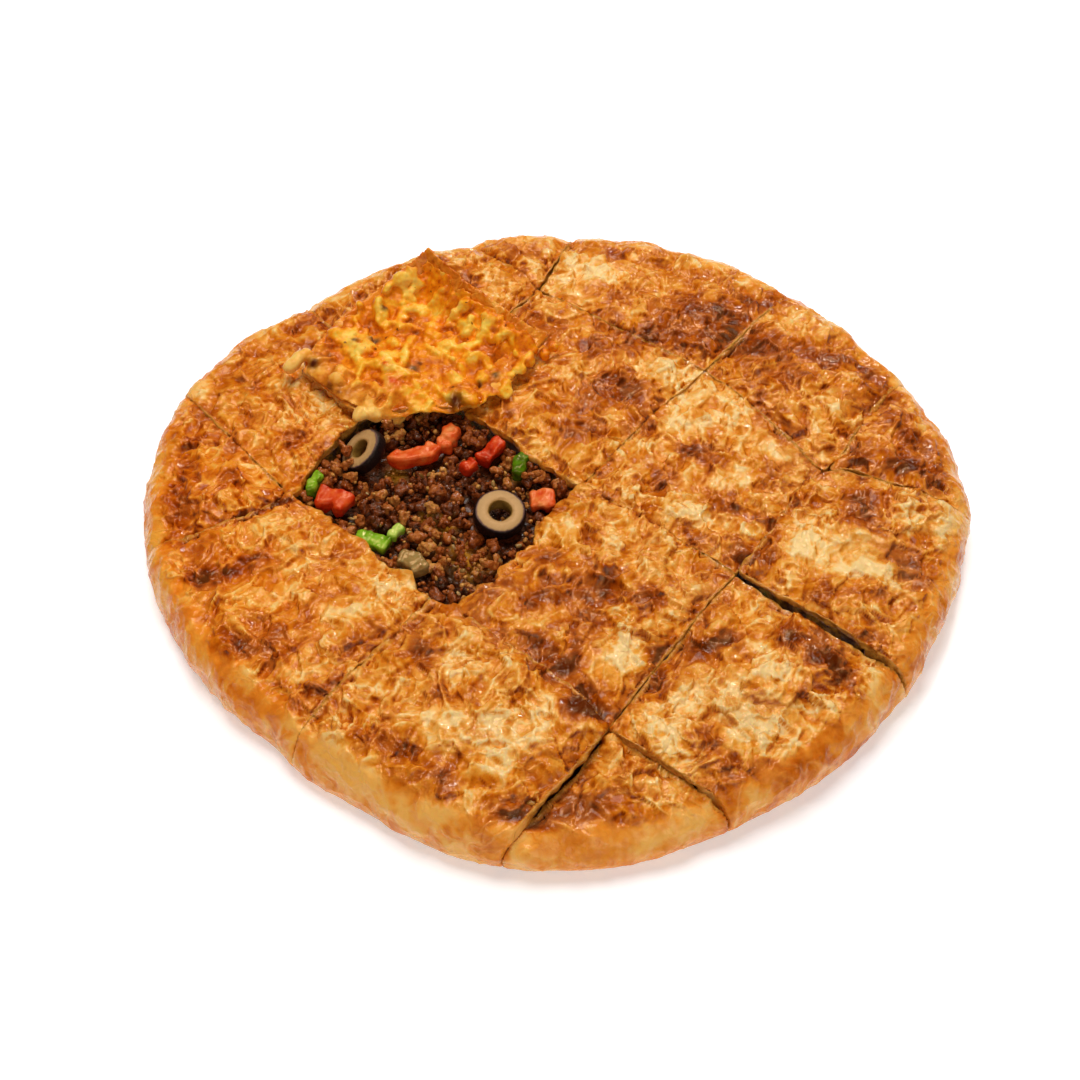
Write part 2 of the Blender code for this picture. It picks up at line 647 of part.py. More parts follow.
def place_topping(name, mesh, centre, tilt, kind):
    """Turns a topping about x, y and z in degrees, and stands it just clear of the filling's core."""
    x, y, z = (math.radians(angle) for angle in tilt)
    turn = Matrix.Rotation(z, 4, "Z") @ Matrix.Rotation(y, 4, "Y") @ Matrix.Rotation(x, 4, "X")
    bmesh.ops.transform(mesh, matrix=turn, verts=mesh.verts)
    lowest = min(vert.co.z for vert in mesh.verts)
    floor = MEAT_LEVEL + MEAT_SWELL / 2 + TOPPING_CLEARANCE + centre[2]
    bmesh.ops.translate(mesh, vec=(centre[0], centre[1], floor - lowest), verts=mesh.verts)
    new_object(name, mesh, kind)


def make_toppings():
    """Everything that lies on the bared filling. Returns the room that each takes: (centre, reach)."""
    taken = []
    for name, (centre, outer, inner, thickness, tilt) in OLIVES.items():
        olive_ring(name, centre, outer, inner, thickness, tilt)
        taken.append((Vector(centre), outer))
    for name, (centre, size, tilt, bend, kind) in DICED.items():
        diced_piece(name, centre, size, tilt, bend, kind)
        turn = math.radians(tilt[2])
        lengthways = Vector((math.cos(turn), math.sin(turn))) * size[0]
        reach = DICED_ROOM[0] * size[0] + DICED_ROOM[1] * size[1]
        taken += [(Vector(centre[:2]) + lengthways * share, reach) for share in DICED_SPOTS]
    return taken


def lifted_middle(u, v):
    """A point of the lifted sheet's middle: level inside and following its edges near them."""
    edges = (LIFTED_FRONT_RIGHT, LIFTED_LEFT_BACK, LIFTED_FRONT_LEFT, LIFTED_RIGHT_BACK)
    near, far, left, right = ([Vector(point) for point in edge] for edge in edges)
    point = sheet_point(near, far, left, right, u, v)
    inside = ease(min(u, v, 1 - u, 1 - v) / LIFTED_BANK)
    point.z += (LIFTED_FLOOR - point.z) * inside
    return point


def lifted_solid(name, kind, points_at):
    """A thin wavy solid over the lifted sheet, with both faces split alike.

    points_at gives the lower and the upper point at one place.
    """
    mesh = bmesh.new()
    shares = [number / LIFTED_STEPS for number in range(LIFTED_STEPS + 1)]
    pairs = [[points_at(u, v) for v in shares] for u in shares]
    loops = []
    for side in (0, 1):
        rows = [[mesh.verts.new(pair[side]) for pair in row] for row in pairs]
        grid_faces(mesh, rows)
        loops.append(grid_rim(rows))
    under, over = loops
    wall_faces(mesh, under + under[:1], over + over[:1])
    bmesh.ops.triangulate(mesh, faces=mesh.faces, quad_method="FIXED")
    new_object(name, mesh, kind)


def crust_faces(u, v):
    """Both faces of the lifted crust at one place."""
    middle = lifted_middle(u, v)
    half = Vector((0, 0, LIFTED_THICKNESS / 2))
    return middle - half, middle + half


def cheese_faces(u, v):
    """Both faces of the cheese at one place: it lies on the crust just inside its edges."""
    u, v = (min(1 - CHEESE_INSET, max(CHEESE_INSET, share)) for share in (u, v))
    floor = crust_faces(u, v)[1] + Vector((0, 0, CHEESE_GAP))
    lump = CHEESE_LUMP * noise.noise(Vector((floor.x, floor.y, CHEESE_LAYER)) / CHEESE_LUMP_LENGTH)
    inside = ease((min(u, v, 1 - u, 1 - v) - CHEESE_INSET) / CHEESE_BANK)
    thickness = CHEESE_EDGE + max(0.0, CHEESE_MEAN + lump - CHEESE_EDGE) * inside
    return floor, floor + Vector((0, 0, thickness))


def centre_on_origin():
    """Moves every mesh so that the whole stands with the middle of its box over the origin."""
    items = list(bpy.context.scene.objects)
    corners = [vert.co for item in items for vert in item.data.vertices]
    middle_x = (min(co.x for co in corners) + max(co.x for co in corners)) / 2
    middle_y = (min(co.y for co in corners) + max(co.y for co in corners)) / 2
    for item in items:
        item.data.transform(Matrix.Translation((-middle_x, -middle_y, 0.0)))


def main():
    for old in list(bpy.data.objects):
        bpy.data.objects.remove(old)
    for number, (cut_a, inner, cut_b, top) in enumerate(RIM_SLICES, start=1):
        make_rim_slice(number, cut_a, inner, cut_b, top)
    for side, (cuts, top) in CENTRE_SLICES.items():
        make_centre_slice(f"centre_slice_{side}", cuts, top)
    base = CentreSlice(OPEN_SLICE, BASE_THICKNESS).loop
    new_object("open_slice_base", prism(base, 0.0, BASE_THICKNESS), "base")
    make_meat(make_toppings())
    lifted_solid("lifted_crust", "crust", crust_faces)
    lifted_solid("lifted_cheese", "cheese", cheese_faces)
    centre_on_origin()


main()
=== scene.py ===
import math
import random

import bpy
import numpy as np
from mathutils import Euler, Matrix, Vector
from mathutils.bvhtree import BVHTree


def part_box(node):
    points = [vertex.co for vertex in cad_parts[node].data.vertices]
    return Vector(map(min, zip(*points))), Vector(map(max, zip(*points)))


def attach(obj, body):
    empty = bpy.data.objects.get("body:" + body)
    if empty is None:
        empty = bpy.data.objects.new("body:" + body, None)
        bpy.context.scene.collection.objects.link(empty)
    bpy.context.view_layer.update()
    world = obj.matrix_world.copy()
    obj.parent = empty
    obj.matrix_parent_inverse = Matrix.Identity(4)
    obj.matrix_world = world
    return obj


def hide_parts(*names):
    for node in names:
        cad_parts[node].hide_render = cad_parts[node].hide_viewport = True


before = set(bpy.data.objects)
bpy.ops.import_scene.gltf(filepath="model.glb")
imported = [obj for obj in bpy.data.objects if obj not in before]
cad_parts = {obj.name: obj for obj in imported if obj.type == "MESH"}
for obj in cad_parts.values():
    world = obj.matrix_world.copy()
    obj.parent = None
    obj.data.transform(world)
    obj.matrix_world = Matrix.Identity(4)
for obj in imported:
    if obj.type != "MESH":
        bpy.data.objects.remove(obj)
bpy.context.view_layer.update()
print("frame loaded:", len(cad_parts), "nodes")

mm = 0.001

# the photograph's camera, its place in mm, and the height of the crust that it looks at
photo = {
    "pixels": 1080,
    "lens": 50,
    "sensor": 36,
    "place": (-4.9, -344.15, 398.34),
    "tilt": math.radians(40),
    "crustTop": 20,
}


# colours and shader nodes

# the output that is read from a node, where it isn't the first
outlets = {"TexCoord": "Object", "Attribute": "Fac", "Mix": 2}


def hexColour(code):
    # sRGB hex to the linear colour that the shaders take
    channels = [int(code[place:place + 2], 16) / 255 for place in (1, 3, 5)]
    return (*[c / 12.92 if c <= 0.04045 else ((c + 0.055) / 1.055) ** 2.4 for c in channels], 1.0)


def newMaterial(name, *painted):
    # gives the point on the piece as well, and the values painted there
    material = bpy.data.materials.new(name)
    material.use_nodes = True
    tree = material.node_tree
    place = addNode(tree, "TexCoord", {})
    return material, tree, place, [addNode(tree, "Attribute", {}, attribute_name=value) for value in painted]


def setInputs(tree, node, inputs):
    # each input is fed by a socket or takes a plain value
    for key, value in inputs.items():
        if isinstance(value, bpy.types.NodeSocket):
            tree.links.new(value, node.inputs[key])
        else:
            node.inputs[key].default_value = value


def addNode(tree, kind, inputs, stops=(), outlet=None, **settings):
    # gives the socket that is read from the new node; stops are a ramp's (place, hex)
    node = tree.nodes.new("ShaderNode" + kind)
    for key, value in settings.items():
        setattr(node, key, value)
    setInputs(tree, node, inputs)
    if stops:
        elements = node.color_ramp.elements
        while len(elements) < len(stops):
            elements.new(0.5)
        for element, (place, code) in zip(elements, stops):
            element.position = place
            element.color = hexColour(code)
    return node.outputs[outlet or outlets.get(kind, 0)]


def mottled(tree, noise, share, tone, less):
    # a painted tone with some of a noise added, moved down so that it fills its ramp
    mixed = addNode(tree, "Math", {0: noise, 1: share, 2: tone}, operation="MULTIPLY_ADD")
    return addNode(tree, "Math", {0: mixed, 1: less}, operation="SUBTRACT")


def setSurface(tree, inputs):
    setInputs(tree, tree.nodes["Principled BSDF"], inputs)


# meshes

def selectOnly(piece):
    if bpy.context.mode != "OBJECT":
        bpy.ops.object.mode_set(mode="OBJECT")
    bpy.ops.object.select_all(action="DESELECT")
    piece.select_set(True)
    bpy.context.view_layer.objects.active = piece


def editAll(piece):
    selectOnly(piece)
    bpy.ops.object.mode_set(mode="EDIT")
    bpy.ops.mesh.select_all(action="SELECT")


def applyModifier(piece, kind, **settings):
    selectOnly(piece)
    modifier = piece.modifiers.new(kind.lower(), kind)
    for key, value in settings.items():
        setattr(modifier, key, value)
    bpy.ops.object.modifier_apply(modifier=modifier.name)


def cadCopy(node, name):
    # the node's loose triangles, merged and joined into quads where they are flat
    piece = bpy.data.objects.new(name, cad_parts[node].data.copy())
    piece.data.name = name
    piece.data.materials.clear()
    bpy.context.scene.collection.objects.link(piece)
    editAll(piece)
    bpy.ops.mesh.remove_doubles(threshold=0.00001)
    bpy.ops.mesh.tris_convert_to_quads(face_threshold=math.radians(30), shape_threshold=math.radians(60))
    bpy.ops.object.mode_set(mode="OBJECT")
    return piece


def creaseSharp(piece, angle):
    editAll(piece)
    bpy.ops.mesh.select_mode(type="EDGE")
    bpy.ops.mesh.select_all(action="DESELECT")
    bpy.ops.mesh.edges_select_sharp(sharpness=math.radians(angle))
    bpy.ops.transform.edge_crease(value=1.0)
    bpy.ops.mesh.select_mode(type="VERT")
    bpy.ops.object.mode_set(mode="OBJECT")


def readVectors(items, name):
    found = np.empty(len(items) * 3, np.float32)
    items.foreach_get(name, found)
    return found.reshape(-1, 3).astype(np.float64)


def pointsOf(piece):
    return readVectors(piece.data.vertices, "co") / mm


def normalsOf(piece):
    return readVectors(piece.data.vertex_normals, "vector")


def movePoints(piece, points):
    piece.data.vertices.foreach_set("co", (points * mm).astype(np.float32).ravel())
    piece.data.update()


def paint(piece, name, values):
    layer = piece.data.attributes.new(name, "FLOAT", "POINT")
    layer.data.foreach_set("value", np.asarray(values, np.float32))


def finishPiece(piece, material, slot, *nodes):
    selectOnly(piece)
    bpy.ops.object.shade_smooth()
    piece.data.materials.clear()
    piece.data.materials.append(material)
    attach(piece, "root")
    if nodes:
        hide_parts(*nodes)


# fields over the dough, on points in millimetres

# large primes that turn the numbers of a cell into a random one
primes = (73856093, 19349663, 83492791)
stirrers = ((13, 1274126177), (15, 668265263))
lowBits = 0x7FFFFFFF


def ease(low, high, value):
    share = np.clip((value - low) / (high - low), 0, 1)
    return share * share * (3 - 2 * share)


def stirred(mixed):
    for shift, prime in stirrers:
        mixed = (mixed ^ mixed >> shift) * prime & lowBits
    return mixed


def softNoise(points, size, seed):
    # gradient noise from about -1 to 1, one wave in `size` mm
    spot = points / size + seed * 19.7
    cell = np.floor(spot).astype(np.int64)
    inside = spot - cell
    fade = inside * inside * inside * (inside * (inside * 6 - 15) + 10)
    total = np.zeros(len(points))
    for corner in range(8):
        step = np.array([corner >> axis & 1 for axis in range(3)])
        key = cell + step
        mixed = stirred(key[:, 0] * primes[0] ^ key[:, 1] * primes[1] ^ key[:, 2] * primes[2])
        weight = np.ones(len(points))
        slope = np.zeros(len(points))
        for axis in range(3):
            lean = (mixed >> 3 + 9 * axis & 511) / 255.5 - 1
            slope += lean * (inside[:, axis] - step[axis])
            weight *= fade[:, axis] if step[axis] else 1 - fade[:, axis]
        total += slope * weight
    return total * 1.5


def creases(points, size, seed, sharp=2.0):
    # thin raised lines, 1 on a line and 0 between
    return np.clip(1 - np.abs(softNoise(points, size, seed)) * sharp, 0, 1) ** 2


def shareFrom(mixed, shift=0):
    # a share from 0 to 1 out of eight bits of a random number
    return (mixed >> shift & 255) / 255


def nearCells(points, spacing, seed):
    # a grid in plan with one random spot to a cell: for each of the nine cells round a point, a random
    # number and the way from the cell's spot to the point, counted in cells
    place = points[:, :2] / spacing + seed * 7.3
    cell = np.floor(place).astype(np.int64)
    for right in (-1, 0, 1):
        for up in (-1, 0, 1):
            key = cell + (right, up)
            mixed = key[:, 0] * primes[0] ^ key[:, 1] * primes[1] ^ int(seed * 1000) * primes[2]
            mixed = stirred(mixed & lowBits)
            yield mixed, place - key - np.stack([shareFrom(mixed), shareFrom(mixed, 8)], 1)


def facets(points, spacing, seed):
    # crumpled skin in plan: (mm to the nearest fold, how far the facet's tilt lifts it in mm, tone 0 to 1)
    nearest, second = np.full(len(points), 9.0), np.full(len(points), 9.0)
    lift, tone = np.zeros(len(points)), np.zeros(len(points))
    for mixed, away in nearCells(points, spacing, seed):
        distance = np.linalg.norm(away, axis=1)
        turn = shareFrom(mixed, 16) * math.tau
        closer = distance < nearest
        second = np.where(closer, nearest, np.minimum(second, distance))
        nearest = np.where(closer, distance, nearest)
        lift = np.where(closer, away[:, 0] * np.cos(turn) + away[:, 1] * np.sin(turn), lift)
        tone = np.where(closer, shareFrom(mixed, 22), tone)
    return (second - nearest) * spacing / 2, lift * spacing, tone


def bubbles(points, spacing, seed, share=1.0):
    # round blisters, 1 in the middle of each and 0 between, one to a square of the given spacing
    found = np.zeros(len(points))
    for mixed, away in nearCells(points, spacing, seed):
        radius = 0.3 + 0.45 * shareFrom(mixed, 16)
        there = (mixed >> 24 & 127) / 127 < share
        dome = np.sqrt(np.clip(1 - (np.linalg.norm(away, axis=1) / radius) ** 2, 0, 1))
        found = np.maximum(found, np.where(there, dome * radius / 0.75, 0))
    return found


def shingles(points, size, seed):
    # thin skins that overlap, steep on one side: (height, 1 along their upper edges)
    value = 2.2 * softNoise(points, size, seed)
    share = value - np.floor(value)
    return ease(0, 0.22, share) - share, ease(0.08, 0.2, share) * ease(0.5, 0.25, share)


def warped(points, reach, size, seed):
    # the points moved about in plan by a soft noise, so that what is made on them bends
    moved = points.copy()
    for axis in range(2):
        moved[:, axis] += reach * softNoise(points, size, seed + axis * 3.1)
    return moved


# the outline, as the furthest crust in each direction
directions = 240
crustNodes = sorted(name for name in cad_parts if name.endswith("_crust") and name != "lifted_crust")
outline = np.zeros(directions)
for name in crustNodes:
    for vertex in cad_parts[name].data.vertices:
        way = int((math.atan2(vertex.co.y, vertex.co.x) / math.tau % 1) * directions)
        outline[way] = max(outline[way], math.hypot(vertex.co.x, vertex.co.y) / mm)
for _ in range(3):
    outline = np.maximum(outline, (np.roll(outline, 1) + np.roll(outline, -1)) / 2)


def rimDistance(points):
    # mm in plan from the outline inwards
    way = (np.arctan2(points[:, 1], points[:, 0]) / math.tau % 1) * directions
    around = np.arange(-1, directions + 2)
    return np.interp(way, around + 0.5, outline[around % directions]) - np.hypot(points[:, 0], points[:, 1])


# the baked crust

crust = {
    "grain": 0.58,          # mm between points of the finished mesh
    "sharp": 50,            # edges over this many degrees stay crisp
    "swell": 1.7,           # mm, wide waves of the top
    "blister": 1.5,         # mm, round blisters 12 mm apart
    "sunk": 1.25,           # mm, taken off again, so that the relief stays about the modelled top
    "facet": 0.22,          # tilt of the crumpled facets 8 mm across
    "smallFacet": 0.2,      # and of those 3.4 mm across
    "skin": 1.1,            # mm, steps where thin skins overlap
    "smallSkin": 0.7,
    "fold": 0.5,            # mm, thin folds between the facets
    "smallFold": 0.14,
    "wrinkle": 0.22,        # mm, curled wrinkles
    "lip": 0.7,             # mm, how far a cut edge stands out
    "roll": 6.0,            # mm, how far from a cut the top starts to roll down
    "drop": 0.9,            # mm, how far it rolls down
    "torn": 3.0,            # mm, how far the edge of the opened slice wanders
    "shoulder": (9, 13),    # mm, heights at which the sides end and the top is all top
    "brim": (13, 8),        # mm from the outline, where the rim's side begins and is all side
    "edgeRelief": 0.25,     # share of the relief that is left at the outline
    "flakes": 0.22,         # how far thin layers and streaks are drawn out
    "radius": 140,          # mm, about the pie's own
    "patchReach": 14,       # mm, how far off a patch may lie and still touch a slice
}

# browned and pale patches of the top, placed on the photograph: column and row of the middle,
# half width and half height in its pixels, clockwise turn in degrees, strength
patchesSeen = {
    "brown": [
        (535, 838, 24, 7, -5, 0.28), (575, 834, 20, 7, -10, 0.3), (612, 824, 26, 10, -15, 0.3),
        (652, 816, 20, 7, -15, 0.25), (700, 800, 26, 8, -30, 0.28), (628, 768, 22, 16, 0, 0.14),
        (547, 822, 6, 11, 20, 0.35), (572, 790, 16, 12, 0, 0.16), (735, 792, 14, 9, -35, 0.45),
        (762, 772, 20, 8, -30, 0.25), (790, 765, 24, 7, -30, 0.5), (825, 745, 26, 8, -35, 0.42),
        (860, 720, 20, 8, -45, 0.3), (776, 756, 11, 7, 0, 0.5), (803, 694, 11, 8, 0, 0.52),
        (720, 641, 15, 9, 0, 0.52), (706, 735, 16, 14, 0, 0.4), (655, 682, 18, 10, 0, 0.3),
        (810, 650, 34, 14, 20, 0.36), (845, 675, 28, 12, 40, 0.3), (785, 630, 26, 12, 10, 0.24),
        (700, 655, 12, 10, 0, 0.22), (760, 700, 14, 12, 0, 0.16), (745, 775, 20, 16, 0, 0.24),
        (870, 500, 28, 12, 10, 0.42), (852, 522, 20, 9, 0, 0.3), (905, 560, 26, 18, 30, 0.34),
        (880, 600, 26, 12, 20, 0.32), (930, 590, 14, 24, 0, 0.22), (800, 500, 14, 9, 0, 0.22),
        (830, 590, 24, 12, 20, 0.24), (870, 640, 22, 8, 20, 0.3), (900, 468, 16, 9, 10, 0.44),
        (925, 440, 24, 16, 30, 0.24), (940, 480, 14, 16, 0, 0.24), (892, 425, 24, 12, 20, 0.18),
        (870, 455, 12, 8, 0, 0.22), (441, 778, 13, 11, 0, 0.5), (411, 750, 9, 8, 0, 0.34),
        (470, 760, 12, 8, 0, 0.2), (572, 705, 12, 8, 0, 0.36), (592, 718, 6, 5, 0, 0.7),
        (590, 704, 15, 18, 0, 0.32), (510, 815, 24, 10, -10, 0.42), (530, 822, 12, 8, 0, 0.22),
        (412, 662, 26, 17, -20, 0.34), (425, 650, 14, 8, 0, 0.3), (448, 700, 20, 10, 0, 0.22),
        (470, 690, 16, 10, 0, 0.2), (375, 702, 14, 6, -20, 0.42), (540, 690, 22, 12, 0, 0.2),
        (520, 760, 18, 12, 0, 0.18), (360, 740, 14, 8, 0, 0.22), (575, 590, 44, 20, 0, 0.42),
        (605, 582, 22, 14, 0, 0.24), (592, 618, 20, 8, 10, 0.55), (560, 650, 36, 18, 0, 0.36),
        (530, 640, 14, 9, 0, 0.36), (598, 532, 26, 12, -10, 0.3), (560, 560, 16, 8, 0, 0.2),
        (650, 600, 15, 13, 0, 0.36), (640, 545, 16, 9, 0, 0.2), (655, 650, 10, 7, 0, 0.3),
        (570, 665, 14, 8, 0, 0.3), (545, 555, 16, 9, 0, 0.26), (700, 455, 30, 10, 20, 0.34),
        (740, 548, 26, 9, 20, 0.36), (722, 500, 32, 12, 20, 0.34), (760, 520, 22, 10, 20, 0.26),
        (660, 480, 22, 12, 20, 0.22), (690, 530, 22, 9, 20, 0.24), (765, 470, 20, 10, 20, 0.2),
        (800, 430, 24, 10, 20, 0.2), (765, 352, 34, 15, -5, 0.5), (790, 380, 22, 10, 0, 0.34),
        (835, 360, 36, 12, 15, 0.36), (830, 395, 26, 9, 15, 0.24), (870, 395, 22, 12, 30, 0.24),
        (240, 650, 30, 12, -20, 0.3), (320, 690, 34, 14, -30, 0.32), (290, 640, 26, 12, -20, 0.2),
        (330, 570, 20, 14, 0, 0.26), (300, 610, 24, 10, -20, 0.24), (350, 640, 28, 12, -30, 0.26),
        (390, 560, 16, 10, 0, 0.2), (210, 510, 22, 8, -10, 0.28), (560, 402, 22, 15, 0, 0.26),
        (612, 392, 26, 15, 0, 0.28), (590, 432, 22, 12, 0, 0.32), (640, 400, 22, 14, 0, 0.14),
        (660, 380, 18, 10, 0, 0.12), (530, 375, 20, 12, 0, 0.24), (580, 350, 22, 9, 20, 0.22),
        (620, 345, 22, 10, 10, 0.28), (640, 420, 14, 10, 0, 0.24), (690, 318, 48, 20, 5, 0.52),
        (650, 335, 26, 10, 10, 0.34), (735, 310, 26, 16, 15, 0.3), (640, 290, 24, 9, 10, 0.16),
        (700, 345, 30, 8, 10, 0.3), (770, 290, 20, 10, 25, 0.22), (212, 474, 28, 8, 15, 0.34),
        (236, 480, 16, 7, 0, 0.26), (180, 500, 20, 10, 0, 0.24), (175, 440, 18, 10, -30, 0.16),
        (250, 380, 26, 10, -20, 0.26), (300, 350, 26, 8, -25, 0.34), (270, 400, 30, 12, -20, 0.22),
        (320, 420, 16, 8, 0, 0.2), (240, 420, 22, 8, 20, 0.24), (290, 440, 20, 9, 20, 0.26),
        (390, 300, 26, 6, -25, 0.22), (450, 270, 16, 6, 0, 0.16), (470, 285, 20, 9, 20, 0.24),
        (510, 275, 14, 8, 0, 0.22), (520, 255, 26, 5, 5, 0.14),
    ],
    "pale": [
        (490, 735, 20, 14, 0, 0.4), (470, 650, 30, 20, 0, 0.3), (540, 735, 26, 16, 0, 0.24),
        (460, 720, 24, 14, 0, 0.24), (430, 690, 22, 12, 0, 0.22), (400, 620, 22, 12, 0, 0.16),
        (590, 560, 30, 10, 0, 0.16), (650, 562, 26, 12, 0, 0.42), (680, 600, 22, 14, 0, 0.3),
        (520, 590, 28, 12, -30, 0.3), (620, 650, 22, 12, 0, 0.28), (600, 672, 16, 10, 0, 0.24),
        (745, 715, 34, 20, 0, 0.34), (720, 680, 34, 14, 0, 0.34), (680, 690, 24, 14, 0, 0.3),
        (800, 665, 18, 10, 0, 0.1), (780, 730, 24, 14, 0, 0.22), (660, 730, 16, 12, 0, 0.26),
        (725, 410, 34, 20, 20, 0.26), (700, 390, 24, 10, 20, 0.26), (795, 458, 22, 16, 0, 0.45),
        (760, 440, 24, 12, 0, 0.2), (680, 500, 14, 10, 0, 0.16), (640, 450, 22, 12, 0, 0.2),
        (710, 560, 20, 7, 20, 0.24), (825, 555, 32, 16, 0, 0.3), (860, 560, 20, 12, 0, 0.2),
        (800, 540, 14, 10, 0, 0.22), (905, 498, 22, 9, 30, 0.16), (928, 432, 6, 6, 0, 0.62),
        (860, 430, 22, 12, -30, 0.22), (590, 268, 30, 14, 0, 0.34), (560, 285, 14, 10, 0, 0.24),
        (640, 262, 40, 8, 5, 0.2), (785, 320, 24, 10, 20, 0.42), (815, 325, 20, 8, 20, 0.24),
        (565, 300, 20, 10, 0, 0.22), (575, 460, 14, 14, 0, 0.26), (600, 360, 30, 8, 10, 0.14),
        (520, 410, 14, 10, 0, 0.16), (260, 470, 22, 10, 0, 0.26), (230, 455, 24, 9, 0, 0.2),
        (160, 470, 8, 24, 0, 0.2), (310, 575, 20, 10, 0, 0.16), (260, 600, 26, 10, 0, 0.14),
        (370, 600, 26, 12, -30, 0.22), (335, 400, 26, 10, -25, 0.24), (300, 440, 14, 8, 0, 0.18),
        (220, 410, 24, 8, 20, 0.18), (610, 745, 12, 10, 0, 0.26), (560, 770, 20, 10, 0, 0.18),
        (650, 775, 26, 14, 0, 0.18), (500, 310, 16, 8, 0, 0.16), (530, 262, 20, 6, 0, 0.2),
    ],
}

# more of them in mm: x and y of the middle, half length, half width, turn in degrees, strength
patchesPlaced = {
    "brown": [
        (-108, -41, 5.5, 2.4, 16, 1.1), (-119, -44, 4, 3, 0, 0.5), (-99, -35, 5, 2, 25, 0.6),
        (-96, -11, 9, 1.5, 28, 1.1),
    ],
    # where the skin is thin and the filling greys it
    "thin": [
        (57, -95, 9, 5, 0, 0.7), (-20, -102, 5, 4, 0, 0.75), (83, 10, 6, 5, 0, 0.45),
        (45, -48, 5, 4, 0, 0.5), (102, -29, 8, 3, 0, 0.4), (113, -41, 4, 6, 0, 0.35),
        (44, -86, 6, 3, 0, 0.4), (-18, -48, 5, 3, 0, 0.3),
    ],
}


def seenAt(column, row):
    # the point of the crust's top that a pixel of the photograph shows, in mm
    focal = photo["pixels"] * photo["lens"] / photo["sensor"]
    right, up = (column - photo["pixels"] / 2) / focal, (photo["pixels"] / 2 - row) / focal
    c, s = math.cos(photo["tilt"]), math.sin(photo["tilt"])
    way = (right, s + up * c, up * s - c)
    reach = (photo["crustTop"] - photo["place"][2]) / way[2]
    return photo["place"][0] + way[0] * reach, photo["place"][1] + way[1] * reach


def onCrust(column, row, wide, high, turn, strength):
    # a patch seen in the photograph, in whole millimetres, lengthened where the camera foreshortens it
    x, y = seenAt(column, row)
    across, along = seenAt(column + wide, row)[0] - x, seenAt(column, row - high)[1] - y
    low = math.cos(photo["tilt"])
    c, s = math.cos(math.radians(turn)), -math.sin(math.radians(turn))
    long, short = across * math.hypot(c, s / low), along * math.hypot(c, s * low)
    turned = math.degrees(math.atan2(s / low, c))
    return *[round(value) for value in (x, y, long, short, turned)], strength


crustPatches = {
    kind: [onCrust(*patch) for patch in patchesSeen.get(kind, [])] + patchesPlaced.get(kind, [])
    for kind in ("brown", "pale", "thin")
}

# the corners of the opened slice
opened = np.array([(-90, -6), (-45, 46), (9, -3), (-32, -56)])


def openedDistance(points):
    # mm in plan to the edge of the opened slice
    nearest = np.full(len(points), 999.0)
    for start, end in zip(opened, np.roll(opened, -1, 0)):
        along = end - start
        away = points[:, :2] - start
        share = np.clip(away @ along / (along @ along), 0, 1)
        nearest = np.minimum(nearest, np.linalg.norm(away - share[:, None] * along, axis=1))
    return nearest


def crustRelief(points):
    # the baked skin: (mm that it stands proud, how much of a ridge, tone of the facet, how rough it is)
    flat = points * (1, 1, 0)
    bent = warped(flat, 3.0, 11, 1.3)
    twisted = warped(bent, 0.8, 4.5, 2.7)
    away, lift, tone = facets(twisted, 8, 14.0)
    nearAway, nearLift, nearTone = facets(warped(twisted, 0.6, 2, 3.9), 3.4, 15.0)
    fold = np.clip(1 - away / 0.8, 0, 1) ** 1.5
    smallFold = np.clip(1 - nearAway / 0.6, 0, 1) ** 1.5
    wrinkles = creases(twisted, 5.5, 4.4, 2.6)
    finest = creases(warped(twisted, 0.5, 1.8, 8.8), 2.4, 7.2, 2.2)
    skin, skinEdge = shingles(twisted, 17, 16.0)
    smallSkin, smallSkinEdge = shingles(twisted, 9, 17.0)
    # some areas are smoother, more of them at the back
    rough = 0.35 + 0.65 * ease(-0.4, 0.3, softNoise(flat, 24, 9.4))
    rough *= 1 - 0.25 * ease(-10, 50, points[:, 1])
    wide = 0.5 + 0.5 * rough
    height = crust["swell"] * (0.6 * softNoise(flat, 26, 10.1) + 0.5 * softNoise(bent, 13, 10.9))
    height += crust["blister"] * bubbles(bent, 12, 3.0, 0.75) + 0.5 * bubbles(twisted, 5.2, 5.0, 0.6)
    height += crust["skin"] * skin + crust["smallSkin"] * smallSkin
    height += wide * (crust["facet"] * lift + crust["fold"] * fold + crust["wrinkle"] * wrinkles)
    height += rough * (crust["smallFacet"] * nearLift + crust["smallFold"] * smallFold + 0.06 * finest)
    ridge = rough * (0.6 * fold + 0.35 * smallFold + 0.5 * wrinkles + 0.1 * finest)
    ridge = np.clip(ridge + 0.45 * skinEdge + 0.3 * smallSkinEdge, 0, 1)
    return height - crust["sunk"], ridge, 0.5 * tone + 0.5 * nearTone, rough


def edgeDistance(points, edge):
    # mm in plan to the nearest edge point
    marks = np.unique(np.round(edge[:, :2]), axis=0)
    nearest = np.empty(len(points))
    for start in range(0, len(points), 4000):
        away = points[start:start + 4000, None, :2] - marks[None]
        nearest[start:start + 4000] = np.sqrt((away ** 2).sum(2).min(1))
    return nearest


def patches(points, kind):
    # the sum of the soft patches of a kind, from 0 to 0.9
    total = np.zeros(len(points))
    bent = warped(warped(points * (1, 1, 0), 2.2, 8, 27.0), 0.9, 2.6, 28.0)
    low, high = points.min(0) - crust["patchReach"], points.max(0) + crust["patchReach"]
    spread = 0.45 if kind == "pale" else 0.7
    for x, y, long, short, turn, strength in crustPatches[kind]:
        if low[0] < x < high[0] and low[1] < y < high[1]:
            right, up = bent[:, 0] - x, bent[:, 1] - y
            c, s = math.cos(math.radians(turn)), math.sin(math.radians(turn))
            away = ((right * c + up * s) / long) ** 2 + ((up * c - right * s) / short) ** 2
            total += strength * np.exp(-spread * away)
    return 0.9 * (1 - np.exp(-1.2 * total))


